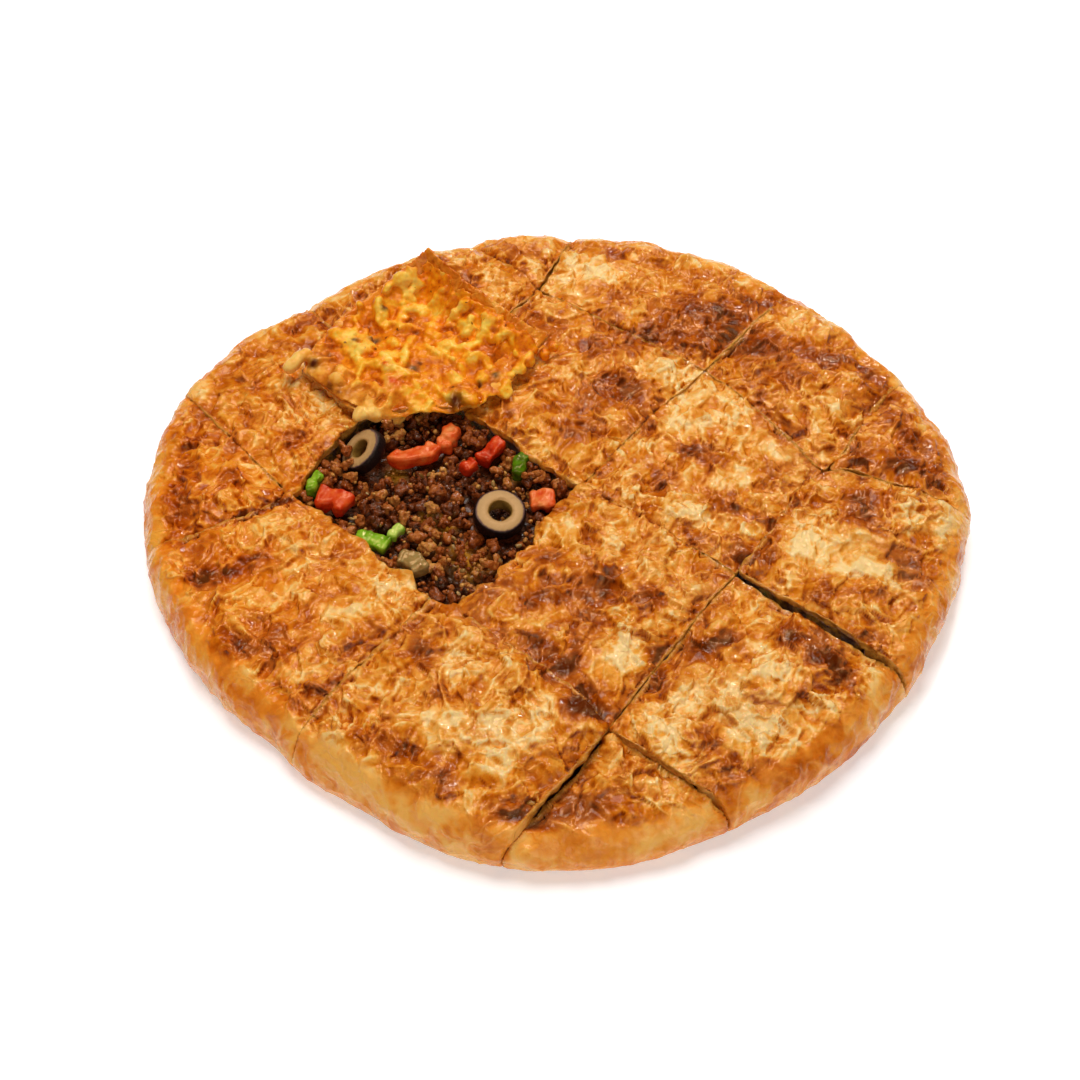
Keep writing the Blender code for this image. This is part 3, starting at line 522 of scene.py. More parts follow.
def bakeField(points):
    # how brown the top is, 0 pale and 1 dark, and the share that the brown patches have in it
    bent = warped(points * (1, 1, 0), 5.0, 16, 21.3)
    value = 0.39 + 0.16 * softNoise(bent, 34, 22.0) + 0.2 * softNoise(bent, 14, 23.0)
    value += 0.12 * softNoise(warped(bent, 1.5, 4, 24.0), 6, 25.0) + 0.05 * softNoise(bent, 2.6, 26.0)
    left = ease(-45, -85, points[:, 0])
    value = value * (1 - 0.3 * left) + 0.13 * left
    strength = (1.08 - 0.35 * left) * (1 - 0.2 * ease(10, 60, points[:, 1]))
    brown = patches(points, "brown")
    return value + strength * brown - 0.44 * patches(points, "pale"), brown


def makeCrust(node, name, material, slot):
    piece = cadCopy(node, name)
    creaseSharp(piece, crust["sharp"])
    applyModifier(piece, "SUBSURF", levels=2, render_levels=2)
    applyModifier(piece, "REMESH", mode="VOXEL", voxel_size=crust["grain"] * mm)
    points, normals = pointsOf(piece), normalsOf(piece)
    high, rim = points[:, 2], rimDistance(points)
    # shares of the top, the rim's side, the underside and the cut faces
    outwards = points[:, :2] / np.linalg.norm(points[:, :2], axis=1)[:, None]
    facing = (normals[:, :2] * outwards).sum(1) + 0.7 * normals[:, 2] * (high > crust["shoulder"][0])
    top = ease(0.25, 0.7, normals[:, 2]) * ease(*crust["shoulder"], high)
    side = ease(*crust["brim"], rim) * ease(0.1, 0.45, facing) * (1 - top * ease(5, 9, rim))
    side = np.where(rim < 12, side, 0)
    under = ease(-0.4, -0.8, normals[:, 2])
    wall = np.clip(1 - top - side - under, 0, 1)
    height, ridge, tone, rough = crustRelief(points)
    height = height * (crust["edgeRelief"] + (1 - crust["edgeRelief"]) * ease(2, 13, rim))
    # the rim's side is smooth, with shallow folds
    sideRelief = 1.5 * softNoise(points, 17, 31.0) + 0.4 * softNoise(points, 6, 31.5)
    sideRelief += 0.5 * creases(warped(points, 1.5, 5, 32.5), 8, 32.0, 2.0)
    sideRelief += 0.15 * creases(points, 3.2, 33.0, 2.4)
    sideRelief *= ease(0, 4, high)
    # the cut faces: thin layers that end unevenly, a lip at the top, and a torn edge at the opened slice
    layers = points * (crust["flakes"], crust["flakes"], 1)
    wallRelief = crust["lip"] + 0.3 * softNoise(layers, 1.3, 34.0) + 0.8 * softNoise(points, 4.5, 35.0)
    torn = ease(6, 3, openedDistance(points))
    tear = 0.5 + crust["torn"] * softNoise(points * (1, 1, 0.5), 7, 38.0) + 0.5 * softNoise(points, 2.6, 39.0)
    wallRelief += torn * ease(4, 10, high) * tear
    push = top * (1 - 0.35 * side) * height + side * sideRelief + wall * wallRelief * (1 - top)
    moved = points + normals * push[:, None]
    # each slice is puffed up in the middle and rolls down to its cuts
    inside = np.zeros(len(points))
    inside[top > 0] = edgeDistance(points[top > 0], points[(wall > 0.5) & (high > 10)])
    rolled = top * (1 - ease(-1, crust["roll"], inside))
    moved[:, 2] = np.maximum(moved[:, 2] - crust["drop"] * rolled, 0.0)
    movePoints(piece, moved)

    bakeAndShading, brown = bakeField(points)
    flatter = 1 - ease(0.1, 0.45, brown)
    # painted shade: the steep sides of folds are browned; ridges are paler, partly the skin's own paleness
    # and partly painted highlight; the top is browner where it rolls down to a cut
    steepShade = ease(0.12, 0.5, 1 - np.clip(normalsOf(piece)[:, 2], 0, 1)) * top
    bakeAndShading += 0.16 * (tone - 0.5) - 0.35 * ridge * (0.4 + 0.6 * flatter) + 0.4 * steepShade + 0.16 * rolled
    # upright streaks on the rim's side
    around = np.arctan2(points[:, 1], points[:, 0]) * crust["radius"]
    upright = np.stack([around, high * crust["flakes"], np.zeros(len(points))], 1)
    sideBake = 0.07 + 0.08 * ease(-10, 30, points[:, 0]) + 0.36 * softNoise(points, 12, 36.0)
    sideBake += 0.14 * softNoise(upright, 2.2, 37.0) + 0.14 * softNoise(points, 4, 36.5) + 0.5 * brown
    # this value holds the browning together with the painted shade and highlight of the top
    paint(piece, "bakeAndShading", top * bakeAndShading * (1 - side) + side * sideBake + (1 - top) * (1 - side) * 0.35)
    paint(piece, "side", side)
    paint(piece, "crumpled", np.clip(rough * (1 - 0.35 * side) * (0.4 + 0.6 * flatter), 0, 1))
    paint(piece, "warm", ease(-30, -125, points[:, 0]) * (1 - 0.7 * ease(0, 50, points[:, 1])))
    paint(piece, "thin", 0.4 * np.clip(patches(points, "thin"), 0, 1) * top)
    paint(piece, "cut", np.clip(wall * (1 - 0.8 * torn) + under, 0, 1))
    finishPiece(piece, material, slot, node)


def bakedDough():
    # oily phyllo-like dough, baked: pale gold where the skin lifts, partly painted highlight, brown where it
    # touched the pan, painted shade beside the folds, and shiny
    material, tree, place, painted = newMaterial(
        "bakedFlakyDough", "bakeAndShading", "side", "warm", "thin", "cut", "crumpled",
    )
    bakeAndShading, side, warm, thin, cut, crumpled = painted
    mottle = addNode(tree, "TexNoise", {
        "Vector": place, "Scale": 190, "Detail": 4, "Roughness": 0.5, "Distortion": 1.0,
    })
    speck = addNode(tree, "TexNoise", {"Vector": place, "Scale": 1100, "Detail": 2, "Roughness": 0.6})
    # curled folds of thin skin, too fine for the mesh: pale lines, partly painted highlight, with a browner
    # line beside them that is painted shade
    shift = addNode(tree, "TexNoise", {"Vector": place, "Scale": 260, "Detail": 2}, outlet="Color")
    pull = addNode(tree, "VectorMath", {0: shift, 1: (0.0018, 0.0018, 0.0018)}, operation="MULTIPLY")
    pulled = addNode(tree, "VectorMath", {0: place, 1: pull}, operation="ADD")
    fading = {"From Min": 0.0, "To Min": 1.0, "To Max": 0.0}
    lines, offs = [], []
    for scale, width in ((75, 14), (140, 11), (280, 8)):
        wave = addNode(tree, "TexNoise", {"Vector": pulled, "Scale": scale, "Detail": 1, "Distortion": 0.6})
        off = addNode(tree, "Math", {0: wave, 1: 0.5}, operation="SUBTRACT")
        size = addNode(tree, "Math", {0: off}, operation="ABSOLUTE")
        lines.append(addNode(tree, "MapRange", {"Value": size, "From Max": 1 / width, **fading}))
        offs.append((off, 2.4 / width))
    wide, narrow = [
        addNode(tree, "MapRange", {"Value": off, "From Max": reach, **fading}) for off, reach in offs[:2]
    ]
    shown = addNode(tree, "MapRange", {"Value": crumpled, "To Min": 0.15, "To Max": 1.1})
    widest = addNode(tree, "Math", {0: lines[0], 1: 0.8}, operation="MULTIPLY")
    two, three = [addNode(tree, "Math", {0: line, 1: shown}, operation="MULTIPLY") for line in lines[1:]]
    most = addNode(tree, "Math", {0: widest, 1: two}, operation="MAXIMUM")
    folds = addNode(tree, "Math", {0: three, 1: 0.3, 2: most}, operation="MULTIPLY_ADD")
    foldShadow = addNode(tree, "Math", {0: wide, 1: narrow}, operation="MULTIPLY")
    # how brown it is: as painted, paler on the folds (the skin's own paleness and painted highlight) and
    # browner beside them (painted shade)
    tone = bakeAndShading
    for part, share, less in ((mottle, 0.4, 0), (speck, 0.1, 0), (folds, -0.25, 0), (foldShadow, 0.28, 0.26)):
        tone = mottled(tree, part, share, tone, less)
    topColour = addNode(tree, "ValToRGB", {"Fac": tone}, [
        (0.0, "#FFD690"), (0.1, "#FCC06A"), (0.24, "#F0A03A"), (0.42, "#DC7C14"),
        (0.6, "#BE5A06"), (0.8, "#943A02"), (1.0, "#602202"),
    ])
    sideColour = addNode(tree, "ValToRGB", {"Fac": tone}, [
        (0.0, "#FFB858"), (0.3, "#F2922C"), (0.6, "#D46A10"), (1.0, "#8C3602"),
    ])
    crumb = addNode(tree, "TexNoise", {"Vector": place, "Scale": 500, "Detail": 3})
    crumbColour = addNode(tree, "ValToRGB", {"Fac": crumb}, [(0.3, "#A4601A"), (0.7, "#DE9C40")])
    # the fine folds are mixed towards pale gold: the skin's own paleness and painted highlight
    foldPaleAndHighlight = addNode(tree, "Math", {0: folds, 1: 0.12}, operation="MULTIPLY")
    colour = topColour
    for share, other, blend in (
        (side, sideColour, "MIX"),
        (foldPaleAndHighlight, hexColour("#F4B468"), "MIX"),
        (thin, hexColour("#CFA666"), "MIX"),
        (warm, (1.0, 0.82, 0.46, 1.0), "MULTIPLY"),
        (cut, crumbColour, "MIX"),
    ):
        colour = addNode(tree, "Mix", {0: share, 6: colour, 7: other}, data_type="RGBA", blend_type=blend)
    gloss = addNode(tree, "MapRange", {
        "Value": mottle, "From Min": 0.3, "From Max": 0.7, "To Min": 0.12, "To Max": 0.32,
    })
    oily = addNode(tree, "MapRange", {"Value": folds, "From Max": 0.8, "To Min": 0.05, "To Max": 0.6})
    crackle = addNode(tree, "TexNoise", {
        "Vector": place, "Scale": 450, "Detail": 2, "Roughness": 0.5, "Distortion": 1.2,
    })
    relief = addNode(tree, "Math", {0: folds, 1: 0.9, 2: crackle}, operation="MULTIPLY_ADD")
    setSurface(tree, {
        "Base Color": colour,
        "Roughness": gloss,
        "Normal": addNode(tree, "Bump", {"Height": relief, "Strength": 0.6, "Distance": 0.0005}),
        "IOR": 1.46,                        # oil on baked dough
        "Specular IOR Level": oily,
        "Specular Tint": hexColour("#FFC888"),
        "Coat Weight": 0.2,                 # oil lies over the folds
        "Coat Roughness": 0.07,
        "Coat IOR": 1.46,
        "Subsurface Weight": 0.2,
        "Subsurface Radius": (1.0, 0.3, 0.05),
        "Subsurface Scale": 0.0015,
    })
    return material


dough = bakedDough()
for node in crustNodes:
    makeCrust(node, "baked_" + node, dough, "baked_crust")
print("crusts done")


# what lies in the opened slice

def heightOver(nodes):
    # a test for the top of these CAD nodes at a plan point in mm, or None beside them
    points, faces = [], []
    for node in nodes:
        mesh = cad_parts[node].data
        start = len(points)
        points += [vertex.co / mm for vertex in mesh.vertices]
        faces += [[start + number for number in face.vertices] for face in mesh.polygons]
    surface = BVHTree.FromPolygons(points, faces)

    def height(x, y):
        hit = surface.ray_cast(Vector((x, y, 100.0)), Vector((0, 0, -1)))[0]
        return None if hit is None else hit.z
    return height


def addBall(radius=0.5, spot=(0, 0, 0)):
    bpy.ops.object.select_all(action="DESELECT")
    bpy.ops.mesh.primitive_ico_sphere_add(subdivisions=2, radius=radius, location=spot)
    return bpy.context.object


def roughBall(seed):
    # a lumpy ball 1 across, for what is scattered
    ball = addBall()
    draw = random.Random(seed)
    for vertex in ball.data.vertices:
        vertex.co *= draw.uniform(0.72, 1.15)
    return ball


def scatter(name, shapes, places):
    # one mesh of many copies; places are (point, size, stretch, turn, tone) in mm
    points, faces, tones = [], [], []
    for number, (spot, size, stretch, turn, tone) in enumerate(places):
        mesh = shapes[number % len(shapes)].data
        start = len(points)
        scale = Matrix.Diagonal((*[size * s for s in stretch], 1))
        matrix = Matrix.Translation(spot) @ Euler(turn).to_matrix().to_4x4() @ scale
        points += [matrix @ vertex.co for vertex in mesh.vertices]
        faces += [[start + corner for corner in face.vertices] for face in mesh.polygons]
        tones += [tone] * len(mesh.vertices)
    mesh = bpy.data.meshes.new(name)
    mesh.from_pydata([point * mm for point in points], [], faces)
    piece = bpy.data.objects.new(name, mesh)
    bpy.context.scene.collection.objects.link(piece)
    paint(piece, "tone", tones)
    return piece


def spotted(points, spots):
    # round soft spots in plan, given as x, y and size in mm
    total = np.zeros(len(points))
    for x, y, size in spots:
        total += np.exp(-((points[:, 0] - x) ** 2 + (points[:, 1] - y) ** 2) / size ** 2)
    return total


mince = {
    "shapes": 10,            # different clumps
    "lobes": (6, 12),        # in a clump
    "lobe": (0.9, 1.6),      # mm, radius
    "grain": 0.5,            # mm between points of a clump
    "clumps": 230,
    "clumpSize": (0.85, 1.3),    # times the size that it is made at
    "clumpLift": (-0.6, 1.3),    # mm over the core
    "spacing": 4.2,          # mm, least distance between clumps
    "tries": 4000,
    "crumbs": 420,
    "crumb": (1.1, 2.3),     # mm across
    "crumbLift": (0.6, 2.6),
    "heaped": 40,            # more clumps against each far edge
    "grains": 8,             # different crumbs
    "bits": 26,              # soft onion bits
    "bit": (2.0, 3.4),       # mm across
    "bitLift": (1.2, 2.6),
    # streaks of melted cheese between the clumps: x, y, size in mm
    "cheesy": [
        (-28, -30, 5), (-31, -24, 3), (-36, -14, 3), (-42, -23, 2.5),
        (-44, -10, 2), (-55, 11, 3), (-12, 11, 3),
    ],
    # clumps that lie over the back olive: x, y, z in mm
    "overOlive": [
        (-73, 14, 19.5), (-72, 8.5, 19), (-69.5, 4, 18), (-74.5, 18, 19.5), (-67, 10, 17), (-71, 1, 16),
    ],
    "seed": 5,
}


def minceClump(number):
    # a knobbly clump with its lobes grown one from another, 1 unit to a mm
    draw = random.Random(100 + number)
    spots, balls = [Vector((0, 0, 0))], []
    for count in range(draw.randint(*mince["lobes"])):
        radius = draw.uniform(*mince["lobe"])
        if count:
            way = Vector((draw.gauss(0, 1), draw.gauss(0, 1), draw.gauss(0, 0.7))).normalized()
            spots.append(draw.choice(spots) + way * radius * 1.25)
        balls.append(addBall(radius, spots[-1]))
    for ball in balls:
        ball.select_set(True)
    bpy.ops.object.join()
    clump = bpy.context.object
    bpy.ops.object.transform_apply(location=True, rotation=True, scale=True)
    applyModifier(clump, "REMESH", mode="VOXEL", voxel_size=mince["grain"])
    points, normals = pointsOf(clump) * mm, normalsOf(clump)
    rough = 0.5 * softNoise(points, 1.7, 44.0 + number) + 0.3 * softNoise(points, 0.9, 45.0)
    rough -= 0.55 * creases(points, 2.3, 46.0 + number, 3.0)
    movePoints(clump, (points + normals * rough[:, None]) / mm)
    applyModifier(clump, "DECIMATE", ratio=0.7)
    return clump


def makeMinceCore(material):
    core = cadCopy("open_slice_meat", "minceCore")
    applyModifier(core, "REMESH", mode="VOXEL", voxel_size=0.8 * mm)
    points, normals = pointsOf(core), normalsOf(core)
    lumps = 0.9 * bubbles(points, 4.5, 41.0) + 0.5 * softNoise(points, 2.2, 42.0) - 0.7
    lumps *= ease(6, 9, points[:, 2]) * ease(0.2, 0.6, normals[:, 2])
    movePoints(core, points + normals * lumps[:, None])
    paint(core, "tone", 0.1 + 0.3 * softNoise(points, 5, 43.0))
    paint(core, "cheesy", np.clip(spotted(points, mince["cheesy"]), 0, 1))
    finishPiece(core, material, "minced_meat", "open_slice_meat")


def makeMince(material, softBits):
    toppings = [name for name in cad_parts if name.startswith(("olive", "tomato", "pepper", "onion"))]
    ground, above = heightOver(["open_slice_meat"]), heightOver(toppings)
    low, high = (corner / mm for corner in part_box("open_slice_meat"))
    draw = random.Random(mince["seed"])

    def freeSpot(reach):
        # on the mince with no topping within reach: (x, y, the ground's height, share of the way to the edge)
        around = [(right * reach, up * reach) for right in (-1, 0, 1) for up in (-1, 0, 1)]
        while True:
            x, y = draw.uniform(low.x, high.x), draw.uniform(low.y, high.y)
            level = ground(x, y)
            if level is None or any(above(x + right, y + up) is not None for right, up in around):
                continue
            edge = float(ease(8, 1, openedDistance(np.array([(x, y, 0.0)])))[0])
            return x, y, level, edge

    def turns():
        return [draw.uniform(0, math.tau) for _ in range(3)]

    shapes = [minceClump(number) for number in range(mince["shapes"])]
    places, taken, tries = [], [], 0
    while len(places) < mince["clumps"] and tries < mince["tries"]:
        tries += 1
        x, y, level, edge = freeSpot(1.6)
        if any((x - a) ** 2 + (y - b) ** 2 < mince["spacing"] ** 2 for a, b in taken):
            continue
        taken.append((x, y))
        spot = Vector((x, y, level + draw.uniform(*mince["clumpLift"]) + 2.2 * edge))
        size = draw.uniform(*mince["clumpSize"])
        places.append((spot, size, (1, 1, 0.85), turns(), draw.uniform(0.15, 0.9)))
    for start, end in zip(opened[:2], opened[1:3]):
        for _ in range(mince["heaped"]):
            spot = start + (end - start) * draw.uniform(0.03, 0.97)
            inwards = opened.mean(0) - spot
            x, y = spot + inwards / np.linalg.norm(inwards) * draw.uniform(1.0, 4.5)
            level = ground(x, y)
            if level is not None and above(x, y) is None:
                spot = Vector((x, y, level + draw.uniform(3.0, 6.2)))
                places.append((spot, draw.uniform(0.7, 1.0), (1, 1, 0.85), turns(), draw.uniform(0.2, 0.8)))
    for spot in mince["overOlive"]:
        places.append((Vector(spot), 0.85, (1, 1, 0.8), turns(), draw.uniform(0.4, 0.8)))
    clumps = scatter("minceClumps", shapes, places)
    finishPiece(clumps, material, "minced_meat", "open_slice_meat")

    grains = [roughBall(seed) for seed in range(mince["grains"])]
    places = []
    for _ in range(mince["crumbs"]):
        x, y, level, edge = freeSpot(0.8)
        stretch = (1, draw.uniform(0.6, 1), draw.uniform(0.6, 1))
        spot = Vector((x, y, level + draw.uniform(*mince["crumbLift"]) + 2.6 * edge))
        places.append((spot, draw.uniform(*mince["crumb"]), stretch, turns(), draw.uniform(0.2, 1.1)))
    crumbs = scatter("minceCrumbs", grains, places)
    finishPiece(crumbs, material, "minced_meat", "open_slice_meat")

    places = []
    for _ in range(mince["bits"]):
        x, y, level, edge = freeSpot(1.0)
        spot = Vector((x, y, level + draw.uniform(*mince["bitLift"]) + 2.0 * edge))
        size = draw.uniform(*mince["bit"])
        stretch = (1, draw.uniform(0.45, 0.8), draw.uniform(0.3, 0.5))
        places.append((spot, size, stretch, turns(), draw.uniform(0.2, 1.0)))
    bits = scatter("softOnionBits", grains, places)
    finishPiece(bits, softBits, "onion", "open_slice_meat")
    print("mince:", len(taken), "clumps")
    for shape in shapes + grains:
        bpy.data.objects.remove(shape)


def cookedMince():
    # browned beef mince: dark, greasy, knobbly, with paler fat and reddish juice
    material, tree, place, (tone, cheesy) = newMaterial("cookedBeefMince", "tone", "cheesy")
    mottle = addNode(tree, "TexNoise", {"Vector": place, "Scale": 700, "Detail": 4, "Roughness": 0.7})
    meat = addNode(tree, "ValToRGB", {"Fac": mottled(tree, mottle, 1.1, tone, 0.55)}, [
        (0.0, "#2C0C02"), (0.3, "#74300A"), (0.52, "#A04A16"), (0.75, "#BC6828"), (1.0, "#DC9C4A"),
    ])
    grit = addNode(tree, "TexNoise", {"Vector": place, "Scale": 1400, "Detail": 4, "Roughness": 0.65})
    setSurface(tree, {
        "Base Color": addNode(tree, "Mix", {0: cheesy, 6: meat, 7: hexColour("#D08A1E")}, data_type="RGBA"),
        "Roughness": addNode(tree, "MapRange", {
            "Value": mottle, "From Min": 0.35, "From Max": 0.65, "To Min": 0.2, "To Max": 0.5,
        }),
        "Normal": addNode(tree, "Bump", {"Height": grit, "Strength": 0.7, "Distance": 0.0006}),
        "IOR": 1.46,
        "Specular Tint": hexColour("#FFCE9C"),
        "Coat Weight": 0.25,                # fat on the lobes
        "Coat Roughness": 0.12,
    })
    return material


def makeOlive(node, name, material):
    ring = cadCopy(node, name)
    applyModifier(ring, "SUBSURF", levels=3, render_levels=3)
    points, normals = pointsOf(ring), normalsOf(ring)
    middle = points.mean(0)
    _, _, axes = np.linalg.svd(points - middle, full_matrices=False)
    axis = axes[2] * np.sign(axes[2][2])
    lift = (points - middle) @ axis
    spokes = points - middle - lift[:, None] * axis
    radius = np.linalg.norm(spokes, axis=1)
    outer, inner = radius.max(), radius.min()
    rubber = 0.12 * softNoise(points, 5, 51.0) + 0.05 * softNoise(points, 1.6, 52.0)
    bent = np.where(radius < inner + 1.2, 0.35 * softNoise(points, 3.2, 53.0), rubber)
    movePoints(ring, points + normals * bent[:, None])
    outwards = (normals * spokes).sum(1) / np.maximum(radius, 0.01)
    share = (radius - inner) / (outer - inner)
    skin = ease(0.35, 0.6, outwards) * ease(0.6, 0.8, share) + ease(0.93, 0.985, share)
    paint(ring, "skin", np.clip(skin, 0, 1))
    paint(ring, "share", share)
    paint(ring, "core", ease(-0.35, -0.6, outwards))
    finishPiece(ring, material, "olive", node)


def pittedOlive():
    # sliced black olive: dull beige-grey flesh with a violet tinge near the waxy blue-black skin
    material, tree, place, (skin, share, core) = newMaterial("slicedBlackOlive", "skin", "share", "core")
    pulp = addNode(tree, "TexNoise", {"Vector": place, "Scale": 800, "Detail": 4, "Roughness": 0.6})
    colour = addNode(tree, "ValToRGB", {"Fac": mottled(tree, pulp, 0.16, share, 0)}, [
        (0.1, "#A8783E"), (0.4, "#CE9E64"), (0.8, "#BC9058"), (0.9, "#5A3A40"), (0.97, "#96745A"),
    ])
    for part, code in ((core, "#8A6428"), (skin, "#140A0C")):
        colour = addNode(tree, "Mix", {0: part, 6: colour, 7: hexColour(code)}, data_type="RGBA")
    setSurface(tree, {
        "Base Color": colour,
        "Roughness": addNode(tree, "MapRange", {"Value": pulp, "To Min": 0.3, "To Max": 0.55}),
        "Normal": addNode(tree, "Bump", {"Height": pulp, "Strength": 0.6, "Distance": 0.0005}),
        "IOR": 1.45,
        "Specular IOR Level": 0.35,
        "Specular Tint": hexColour("#FFDCC0"),
    })
    return material


oliveFlesh = pittedOlive()
makeOlive("olive_ring_front", "oliveFront", oliveFlesh)
makeOlive("olive_ring_back", "oliveBack", oliveFlesh)


def makeVegetable(node, name, material, slot, tone):
    piece = cadCopy(node, name)
    editAll(piece)
    bpy.ops.transform.edge_crease(value=0.32)
    bpy.ops.object.mode_set(mode="OBJECT")
    applyModifier(piece, "SUBSURF", levels=3, render_levels=3)
    points, normals = pointsOf(piece), normalsOf(piece)
    soft = 0.25 + 0.35 * softNoise(points, 3.5, 61.0) + 0.25 * softNoise(points, 1.5, 62.0)
    movePoints(piece, points + normals * soft[:, None])
    low, high = points.min(0), points.max(0)
    share = (points[:, 2] - low[2]) / (high[2] - low[2])
    paint(piece, "tone", tone + 0.3 * softNoise(points, 3, 63.0) + 0.4 * (share - 0.6))
    finishPiece(piece, material, slot, node)


def wetVegetable(name, stops, scale, rough, translucence):
    # cooked vegetable: wet, a little see-through, with cell-like mottling
    material, tree, place, (tone,) = newMaterial(name, "tone")
    cells = addNode(tree, "TexNoise", {"Vector": place, "Scale": scale, "Detail": 3, "Roughness": 0.6})
    setSurface(tree, {
        "Base Color": addNode(tree, "ValToRGB", {"Fac": mottled(tree, cells, 0.6, tone, 0.3)}, stops),
        "Roughness": addNode(tree, "MapRange", {
            "Value": cells, "To Min": rough * 0.6, "To Max": rough * 1.6,
        }),
        "Normal": addNode(tree, "Bump", {"Height": cells, "Strength": 0.3, "Distance": 0.0005}),
        "Subsurface Weight": translucence,
        "Subsurface Scale": 0.002,
        "Specular Tint": hexColour("#FFC890"),
    })
    return material


tomatoReds = [(0.0, "#A01602"), (0.35, "#CE3008"), (0.65, "#E4581C"), (1.0, "#F08A44")]
pepperGreens = [(0.0, "#3C4E04"), (0.35, "#578008"), (0.65, "#84B01C"), (1.0, "#C2D25E")]
onionBrowns = [(0.0, "#5E3A14"), (0.4, "#8A642E"), (0.75, "#A8864C"), (1.0, "#C8A870")]
tomatoFlesh = wetVegetable("cookedTomato", tomatoReds, 450, 0.32, 0.12)
pepperFlesh = wetVegetable("cookedGreenPepper", pepperGreens, 350, 0.22, 0.12)
onionFlesh = wetVegetable("friedOnion", onionBrowns, 400, 0.16, 0.35)
beef = cookedMince()
makeMinceCore(beef)
makeMince(beef, onionFlesh)
tomatoTones = {
    "bent_strip": 0.5,
    "orange_piece": 0.62,
    "red_piece": 0.18,
    "red_chip": 0.18,
    "left_chunk": 0.32,
    "right_strip": 0.58,
}
pepperTones = {"left_piece": 0.5, "right_piece": 0.1, "front_piece": 0.45, "chip": 0.8}
for kind, tone in tomatoTones.items():
    makeVegetable("tomato_" + kind, "tomato_visual_" + kind, tomatoFlesh, "tomato", tone)
for kind, tone in pepperTones.items():
    makeVegetable("pepper_" + kind, "pepper_visual_" + kind, pepperFlesh, "green_pepper", tone)
makeVegetable("onion_piece", "onionPiece", onionFlesh, "onion", 0.5)
print("toppings done")


# the filling at the cuts, and the flat crust under it

def makeSlab(node, name, material, slot, grain, lump, size):
    piece = cadCopy(node, name)
    applyModifier(piece, "REMESH", mode="VOXEL", voxel_size=grain * mm)
    points, normals = pointsOf(piece), normalsOf(piece)
    relief = lump * (bubbles(points + points[:, [2, 0, 1]] * 0.5, size, 71.0) - 0.5)
    relief = np.maximum(relief + 0.5 * lump * softNoise(points, size * 0.6, 72.0), -0.1)
    relief *= 1 - np.abs(normals[:, 2])
    moved = points + normals * relief[:, None]
    moved[:, 2] = np.maximum(moved[:, 2], 0.0)
    movePoints(piece, moved)
    paint(piece, "tone", 0.5 + 0.5 * softNoise(points, size, 73.0))
    paint(piece, "bakeAndShading", 0.35 + 0.2 * softNoise(points, 9, 74.0) + 0.1 * softNoise(points, 3, 75.0))
    # only a base's underside is baked skin
    paint(piece, "cut", np.where((points[:, 2] < 0.4) & (slot == "base_crust"), 0.0, 1.0))
    paint(piece, "crumpled", np.full(len(points), 0.3))
    finishPiece(piece, material, slot, node)


def cheeseAndMince():
    # what shows at a cut: mince bound with melted cheese and soft vegetables
    material, tree, place, (tone,) = newMaterial("cheeseBoundFilling", "tone")
    chunks = addNode(tree, "TexNoise", {"Vector": place, "Scale": 330, "Detail": 4, "Roughness": 0.65})
    setSurface(tree, {
        "Base Color": addNode(tree, "ValToRGB", {"Fac": mottled(tree, chunks, 1.4, tone, 0.7)}, [
            (0.0, "#2E140A"), (0.3, "#5E3018"), (0.5, "#8A5A1E"),
            (0.68, "#C9902E"), (0.85, "#D9A94A"), (1.0, "#7E8A30"),
        ]),
        "Normal": addNode(tree, "Bump", {"Height": chunks, "Strength": 0.6, "Distance": 0.001}),
        "Roughness": 0.38,
        "IOR": 1.46,
    })
    return material


filling = cheeseAndMince()
for node in sorted(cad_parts):
    if node.endswith("_filling"):
        makeSlab(node, "dressed_" + node, filling, "filling", 1.5, 0.9, 4.5)
    elif node.endswith("_base"):
        makeSlab(node, "dressed_" + node, dough, "base_crust", 1.2, 0.4, 4.0)
print("fillings and bases done")


# the lifted crust and its cheese: its corners, and the ways out over its front and left edges

liftedFront, liftedRight = np.array((-70.2, 24.8)), np.array((-1.0, 61.6))
liftedBack, liftedLeft = np.array((-47.0, 97.5)), np.array((-91.6, 46.2))


def outOver(start, end):
    # square to an edge in plan, 1 long
    return (end - start)[::-1] * (1, -1) / np.linalg.norm(end - start)


frontWay, leftWay = outOver(liftedFront, liftedRight), outOver(liftedLeft, liftedFront)


def lineDistance(points, start, end):
    # mm in plan to the line through two corners
    return np.abs((points[:, :2] - start) @ outOver(start, end))


cheese = {
    "grain": 0.55,            # mm between points of the finished mesh
    "ropes": 120,             # strands of pulled cheese
    "ropeLength": (3, 10),    # in steps
    "rope": (0.8, 2.1),       # mm, radius
    "step": 1.5,              # mm, from ball to ball of a rope
    "lumps": 80,
    "lump": (1.3, 3.6),       # mm, radius
    "swell": 1.4,             # mm, wide waves of the sheet
    "frontEdge": 40,          # lumps that hang over an edge
    "backEdge": 36,
    "pore": 0.5,              # mm
    "wall": 8,                # mm, width of the turned-up wall that no rope crosses
    "strip": 6.5,             # mm, width of the clean strip of crust at the front left
    "corner": 7,              # mm, how far the left corner and the tip stay clean
    "frontHang": (1.2, 3.2),  # mm, how far it hangs out and down over the front edge
    "leftHang": (1.6, 0.8),   # and over the left one
    "standBack": (2.6, 2.0),  # mm, how far its crust stands back from them
    "seed": 12,
    # x, y and size in mm
    "cornerLumps": [(-93, 49, 3.2), (-91, 52, 3.0), (-89, 54, 2.4)],
    "burnt": [
        (-40, 91, 2.2), (-35, 33, 3.2), (-86, 49, 2.0), (-27, 41, 1.2), (-62, 75, 1.2), (-48, 50, 0.9),
    ],
    "grey": [(-65, 62, 1.9), (-21, 46, 1.8), (-50, 47, 2.0), (-72, 60, 1.3)],
    "red": [(-57, 39.5, 2.4), (-60, 47, 1.6)],
}


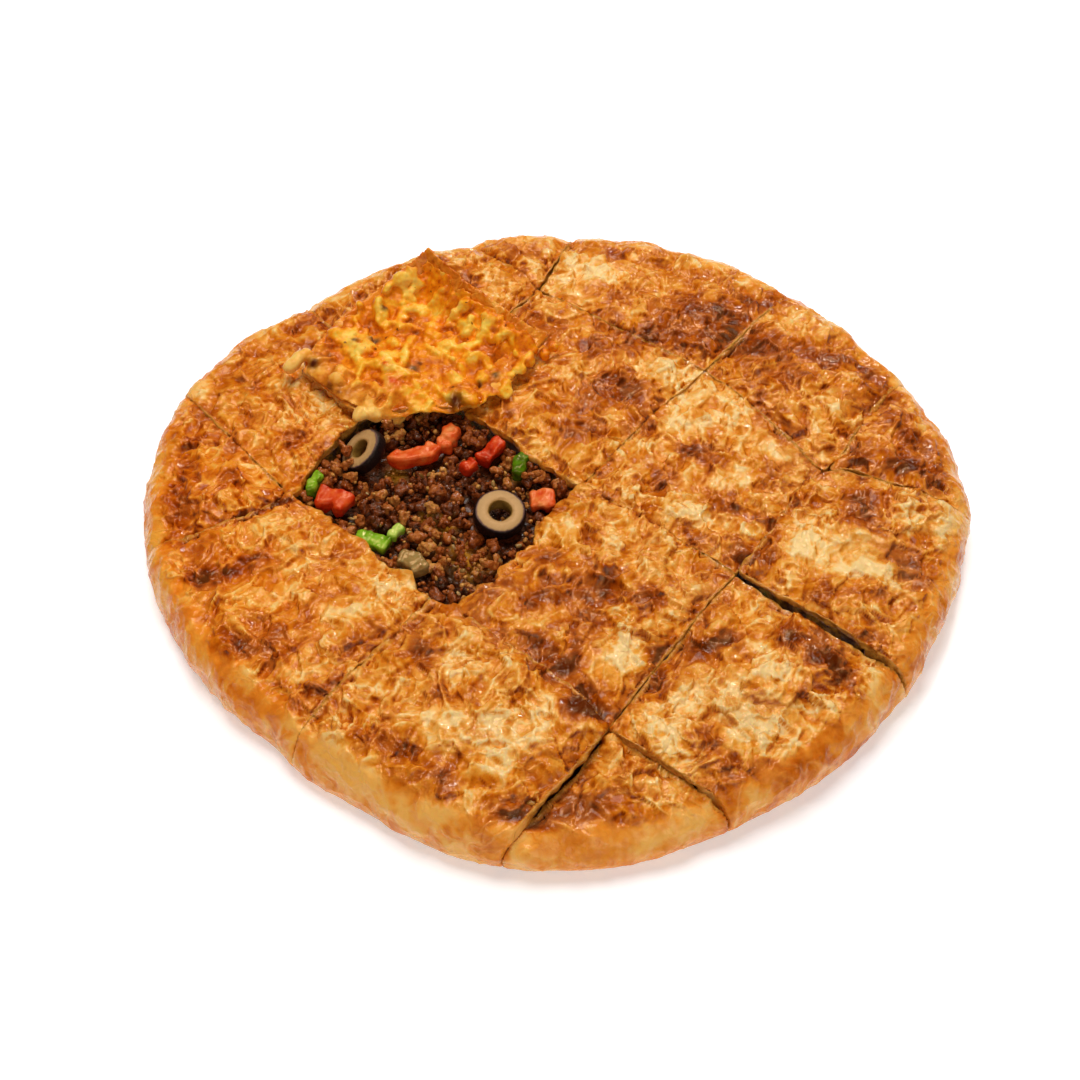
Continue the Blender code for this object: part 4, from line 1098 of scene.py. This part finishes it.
def cheeseBalls():
    # balls that are joined into ropes and lumps: (point, size, stretch, turn, tone) in mm
    top = heightOver(["lifted_cheese"])
    draw = random.Random(cheese["seed"])
    low, high = (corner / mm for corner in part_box("lifted_cheese"))
    middle = (liftedFront + liftedRight + liftedBack + liftedLeft) / 4
    places = []

    def placeBall(x, y, radius, sink):
        level = top(x, y)
        if level is not None:
            stretch = (1, 1, draw.uniform(0.7, 1))
            places.append((Vector((x, y, level - sink)), 2 * radius, stretch, (0, 0, 0), 0))

    def kept(x, y):
        # off the turned-up wall and off the clean strip
        spot = np.array([(x, y)])
        onWall = lineDistance(spot, liftedRight, liftedBack)[0] < cheese["wall"]
        return not onWall and lineDistance(spot, liftedFront, liftedLeft)[0] >= cheese["strip"]

    while len(places) < cheese["lumps"]:
        x, y = draw.uniform(low.x, high.x), draw.uniform(low.y, high.y)
        if kept(x, y):
            placeBall(x, y, draw.uniform(*cheese["lump"]), 0.6)
    for _ in range(cheese["ropes"]):
        x, y, way = draw.uniform(low.x, high.x), draw.uniform(low.y, high.y), draw.uniform(0, math.tau)
        radius = draw.uniform(*cheese["rope"])
        for _ in range(draw.randint(*cheese["ropeLength"])):
            if kept(x, y):
                placeBall(x, y, radius * draw.uniform(0.85, 1.2), -0.5)
            way += draw.uniform(-0.6, 0.6)
            x, y = x + cheese["step"] * math.cos(way), y + cheese["step"] * math.sin(way)
    # start, end, how many, radii, how far down the lowest hangs
    edges = (
        (liftedFront, liftedRight, cheese["frontEdge"], (0.9, 3.0), 4.5),
        (liftedLeft, liftedBack, cheese["backEdge"], (0.9, 2.0), 2.4),
    )
    for start, end, count, radii, lowest in edges:
        for step in range(count):
            spot = start + (end - start) * (step + draw.uniform(-1.2, 1.2)) / count
            inwards = (middle - spot) / np.linalg.norm(middle - spot)
            levels = [top(*(spot + inwards * reach)) for reach in (2.5, 4, 6)]
            levels = [level for level in levels if level is not None]
            # the left corner and the tip stay clean
            clean = min(np.linalg.norm(spot - liftedLeft) - 3, np.linalg.norm(spot - liftedBack))
            if levels and clean > cheese["corner"]:
                spot = spot + inwards * draw.uniform(-2.0, 0.8)
                level = levels[0] - draw.uniform(0.4, lowest)
                places.append((Vector((*spot, level)), 2 * draw.uniform(*radii), (1, 1, 0.85), (0, 0, 0), 0))
    for x, y, radius in cheese["cornerLumps"]:
        level = top(*(np.array((x, y)) + (middle - (x, y)) * 0.12)) or 24
        places.append((Vector((x, y, level + 0.6)), 2 * radius, (1, 0.85, 0.8), (0, 0, 0), 0))
    return places


def makeCheese(material):
    piece = cadCopy("lifted_cheese", "meltedCheese")
    applyModifier(piece, "REMESH", mode="VOXEL", voxel_size=1.2 * mm)
    points, normals = pointsOf(piece), normalsOf(piece)
    swell = cheese["swell"] * (softNoise(points, 14, 84.0) + 0.5 * softNoise(points, 6, 85.0))
    swell *= ease(8, 13, lineDistance(points, liftedRight, liftedBack)) * (normals[:, 2] > 0.1)
    swell *= ease(5, 9, lineDistance(points, liftedFront, liftedLeft))
    movePoints(piece, points + normals * swell[:, None])

    ball = addBall()
    places = cheeseBalls()
    lumps = scatter("cheeseLumps", [ball], places)
    bpy.data.objects.remove(ball)
    selectOnly(piece)
    lumps.select_set(True)
    bpy.ops.object.join()
    applyModifier(piece, "REMESH", mode="VOXEL", voxel_size=cheese["grain"] * mm)
    applyModifier(piece, "SMOOTH", factor=0.5, iterations=7)
    points, normals = pointsOf(piece), normalsOf(piece)
    sheet = BVHTree.FromObject(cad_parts["lifted_cheese"], bpy.context.evaluated_depsgraph_get())
    rise = np.array([sheet.find_nearest(Vector(point * mm))[3] / mm for point in points])
    strip = lineDistance(points, liftedFront, liftedLeft)
    pores = cheese["pore"] * (softNoise(points, 2.6, 87.0) + 0.5 * softNoise(points, 1.3, 88.0))
    pores *= 0.3 + 0.7 * ease(3, 9, strip)
    moved = points + normals * (pores - 0.3 * bubbles(points, 6, 82.0, 0.6))[:, None]
    # it hangs over the crust at the front and the left
    offFront = points[:, :2] - liftedFront
    over = ease(-6, 0, offFront @ frontWay) * (0.75 + 0.5 * softNoise(points, 7, 86.0))
    over *= ease(1, 12, offFront @ (frontWay[::-1] * (-1, 1)))
    overLeft = ease(-4, 0.5, offFront @ leftWay)
    (frontOut, frontDown), (leftOut, leftDown) = cheese["frontHang"], cheese["leftHang"]
    moved[:, :2] += frontOut * over[:, None] * frontWay + leftOut * overLeft[:, None] * leftWay
    moved[:, 2] -= frontDown * over + leftDown * overLeft * (1 - over)
    movePoints(piece, moved)

    # the hollows between the ropes and lumps, where the cheese faces up close to its sheet, are darker:
    # partly the cheese's own deeper orange and partly painted shade
    up = ease(-0.1, 0.5, normals[:, 2])
    hollowToneAndShade = 0.54 * up * (1 - ease(0.2, 2.4, rise)) - 0.04
    hollowToneAndShade += 0.34 * softNoise(points, 9, 89.0) + 0.2 * softNoise(points, 3.5, 89.5)
    paint(piece, "hollowToneAndShade", np.clip(hollowToneAndShade, 0, 1))
    pale = ease(15, 6, strip) + 0.5 * ease(15, 3, np.linalg.norm(points[:, :2] - (-60, 31), axis=1))
    paint(piece, "pale", np.clip(pale + 0.4 * softNoise(points, 8, 90.0), 0, 1))
    wall = ease(11, 6, lineDistance(points, liftedRight, liftedBack))
    paint(piece, "deep", wall * (1 - 0.8 * ease(34, 38, points[:, 2])))
    bent = warped(points, 0.8, 2.5, 93.0)
    for name in ("burnt", "grey", "red"):
        paint(piece, name, np.clip(1.1 * spotted(bent, cheese[name]), 0, 1))
    finishPiece(piece, material, "melted_cheese", "lifted_cheese")
    print("cheese:", len(places), "lumps")


def meltedCheese():
    # baked cheddar-like cheese: oily yellow-orange ropes, deeper orange in the hollows (partly its own
    # colour, partly painted shade), tan where it is thin
    material, tree, place, painted = newMaterial(
        "meltedCheddar", "hollowToneAndShade", "deep", "pale", "burnt", "grey", "red",
    )
    hollowToneAndShade, deep, pale, burnt, grey, red = painted
    mottle = addNode(tree, "TexNoise", {"Vector": place, "Scale": 420, "Detail": 4, "Roughness": 0.6})
    centred = mottled(tree, mottle, 0.9, hollowToneAndShade, 0.36)
    colour = addNode(tree, "ValToRGB", {"Fac": centred}, [
        (0.0, "#FFCE56"), (0.22, "#FFB028"), (0.45, "#F48A08"), (0.7, "#D26004"), (1.0, "#8A3802"),
    ])
    tan = addNode(tree, "ValToRGB", {"Fac": centred}, [
        (0.0, "#FFC868"), (0.4, "#F2A238"), (0.75, "#D07618"), (1.0, "#864008"),
    ])
    wall = addNode(tree, "ValToRGB", {"Fac": mottle}, [
        (0.3, "#FFA010"), (0.52, "#EE7804"), (0.72, "#C04C02"),
    ])
    # scattered dark specks of herb and browned skin
    fleck = addNode(tree, "TexVoronoi", {"Vector": place, "Scale": 210, "Randomness": 1.0})
    flecked = addNode(tree, "MapRange", {
        "Value": fleck, "From Min": 0.1, "From Max": 0.16, "To Min": 0.8, "To Max": 0.0,
    })
    few = addNode(tree, "Math", {0: mottle, 1: 0.56}, operation="GREATER_THAN")
    speckled = addNode(tree, "Math", {0: flecked, 1: few}, operation="MULTIPLY")
    for share, other in (
        (pale, tan),
        (deep, wall),
        (grey, hexColour("#6E4A26")),
        (red, hexColour("#DE4E10")),
        (burnt, hexColour("#5A200A")),
        (speckled, hexColour("#5A2A08")),
    ):
        colour = addNode(tree, "Mix", {0: share, 6: colour, 7: other}, data_type="RGBA")
    setSurface(tree, {
        "Base Color": colour,
        "Roughness": addNode(tree, "MapRange", {"Value": mottle, "To Min": 0.2, "To Max": 0.5}),
        "Normal": addNode(tree, "Bump", {"Height": mottle, "Strength": 0.35, "Distance": 0.0005}),
        "Specular IOR Level": 0.45,
        "Specular Tint": hexColour("#FFC47C"),
        "Coat Weight": 0.06,
        "Coat Roughness": 0.08,
        "Subsurface Weight": 0.2,
        "Subsurface Radius": (1.0, 0.4, 0.1),
        "Subsurface Scale": 0.002,
    })
    return material


makeCheese(meltedCheese())


def makeLiftedCrust(material):
    piece = cadCopy("lifted_crust", "turnedCrust")
    applyModifier(piece, "REMESH", mode="VOXEL", voxel_size=0.6 * mm)
    points, normals = pointsOf(piece), normalsOf(piece)
    height, _, _, rough = crustRelief(points)
    push = np.where(normals[:, 2] < 0, 0.5 * height, 0.15 * height)
    moved = points + normals * push[:, None]
    for way, reach in zip((frontWay, leftWay), cheese["standBack"]):
        near = ease(-7, 0, (points[:, :2] - liftedFront) @ way)
        moved[:, :2] -= reach * near[:, None] * way
    movePoints(piece, moved)
    paint(piece, "bakeAndShading", 0.3 + 0.16 * softNoise(points, 8, 91.0) + 0.08 * softNoise(points, 2.5, 92.0))
    # cheese fat has stained its inner face
    paint(piece, "warm", ease(-0.2, 0.3, normals[:, 2]))
    paint(piece, "cut", 1 - ease(0.3, 0.7, np.abs(normals[:, 2])))
    paint(piece, "crumpled", rough)
    finishPiece(piece, material, "lifted_crust", "lifted_crust")


makeLiftedCrust(dough)
print("lifted crust done")


# floor, light and camera

studio = {
    "sky": 0.06,
    # power, width and place in m; each lamp looks at the middle of the pie
    "lamps": {
        "keyLight": (14.6, 0.8, (-0.2, 0.35, 1.45)),
        "fillLight": (4.6, 0.9, (0.3, -1.1, 0.75)),
        "glintLight": (5.0, 0.16, (0.3, 0.95, 0.9)),
    },
    "floorSize": 6.0,
    "floorLevel": -0.0004,
}
white = (1, 1, 1, 1)


def whitePaper():
    # matt white paper with faint fibres, a little bright of itself, as in a studio lit from all round
    material, tree, place, _ = newMaterial("whitePaper")
    fibre = addNode(tree, "TexNoise", {"Vector": place, "Scale": 60, "Detail": 2})
    setSurface(tree, {
        "Base Color": addNode(tree, "ValToRGB", {"Fac": fibre}, [(0.0, "#F6F6F6"), (1.0, "#FAFAFA")]),
        "Emission Color": white,
        "Emission Strength": 0.34,
        "Roughness": 0.9,
        "Specular IOR Level": 0.0,
    })
    return material


bpy.ops.mesh.primitive_plane_add(size=studio["floorSize"], location=(0, 0, studio["floorLevel"]))
floor = bpy.context.object
floor.name = "paperFloor"
floor.data.materials.append(whitePaper())

world = bpy.data.worlds.new("studio")
world.use_nodes = True
setInputs(world.node_tree, world.node_tree.nodes["Background"], {"Color": white, "Strength": studio["sky"]})
bpy.context.scene.world = world


def addLamp(name, power, size, spot):
    light = bpy.data.lights.new(name, "AREA")
    light.shape = "DISK"
    light.size = size
    light.energy = power
    lamp = bpy.data.objects.new(name, light)
    bpy.context.scene.collection.objects.link(lamp)
    lamp.location = spot
    way = -np.array(spot)
    lamp.rotation_euler = (math.acos(-way[2] / np.linalg.norm(way)), 0, math.atan2(way[0], -way[1]) + math.pi)


for name, lamp in studio["lamps"].items():
    addLamp(name, *lamp)

lens = bpy.data.cameras.new("camera")
lens.lens = photo["lens"]
lens.sensor_width = photo["sensor"]
camera = bpy.data.objects.new("camera", lens)
bpy.context.scene.collection.objects.link(camera)
camera.location = [side * mm for side in photo["place"]]
camera.rotation_euler = (photo["tilt"], 0, 0)
bpy.context.scene.camera = camera
bpy.context.scene.view_settings.view_transform = "Standard"
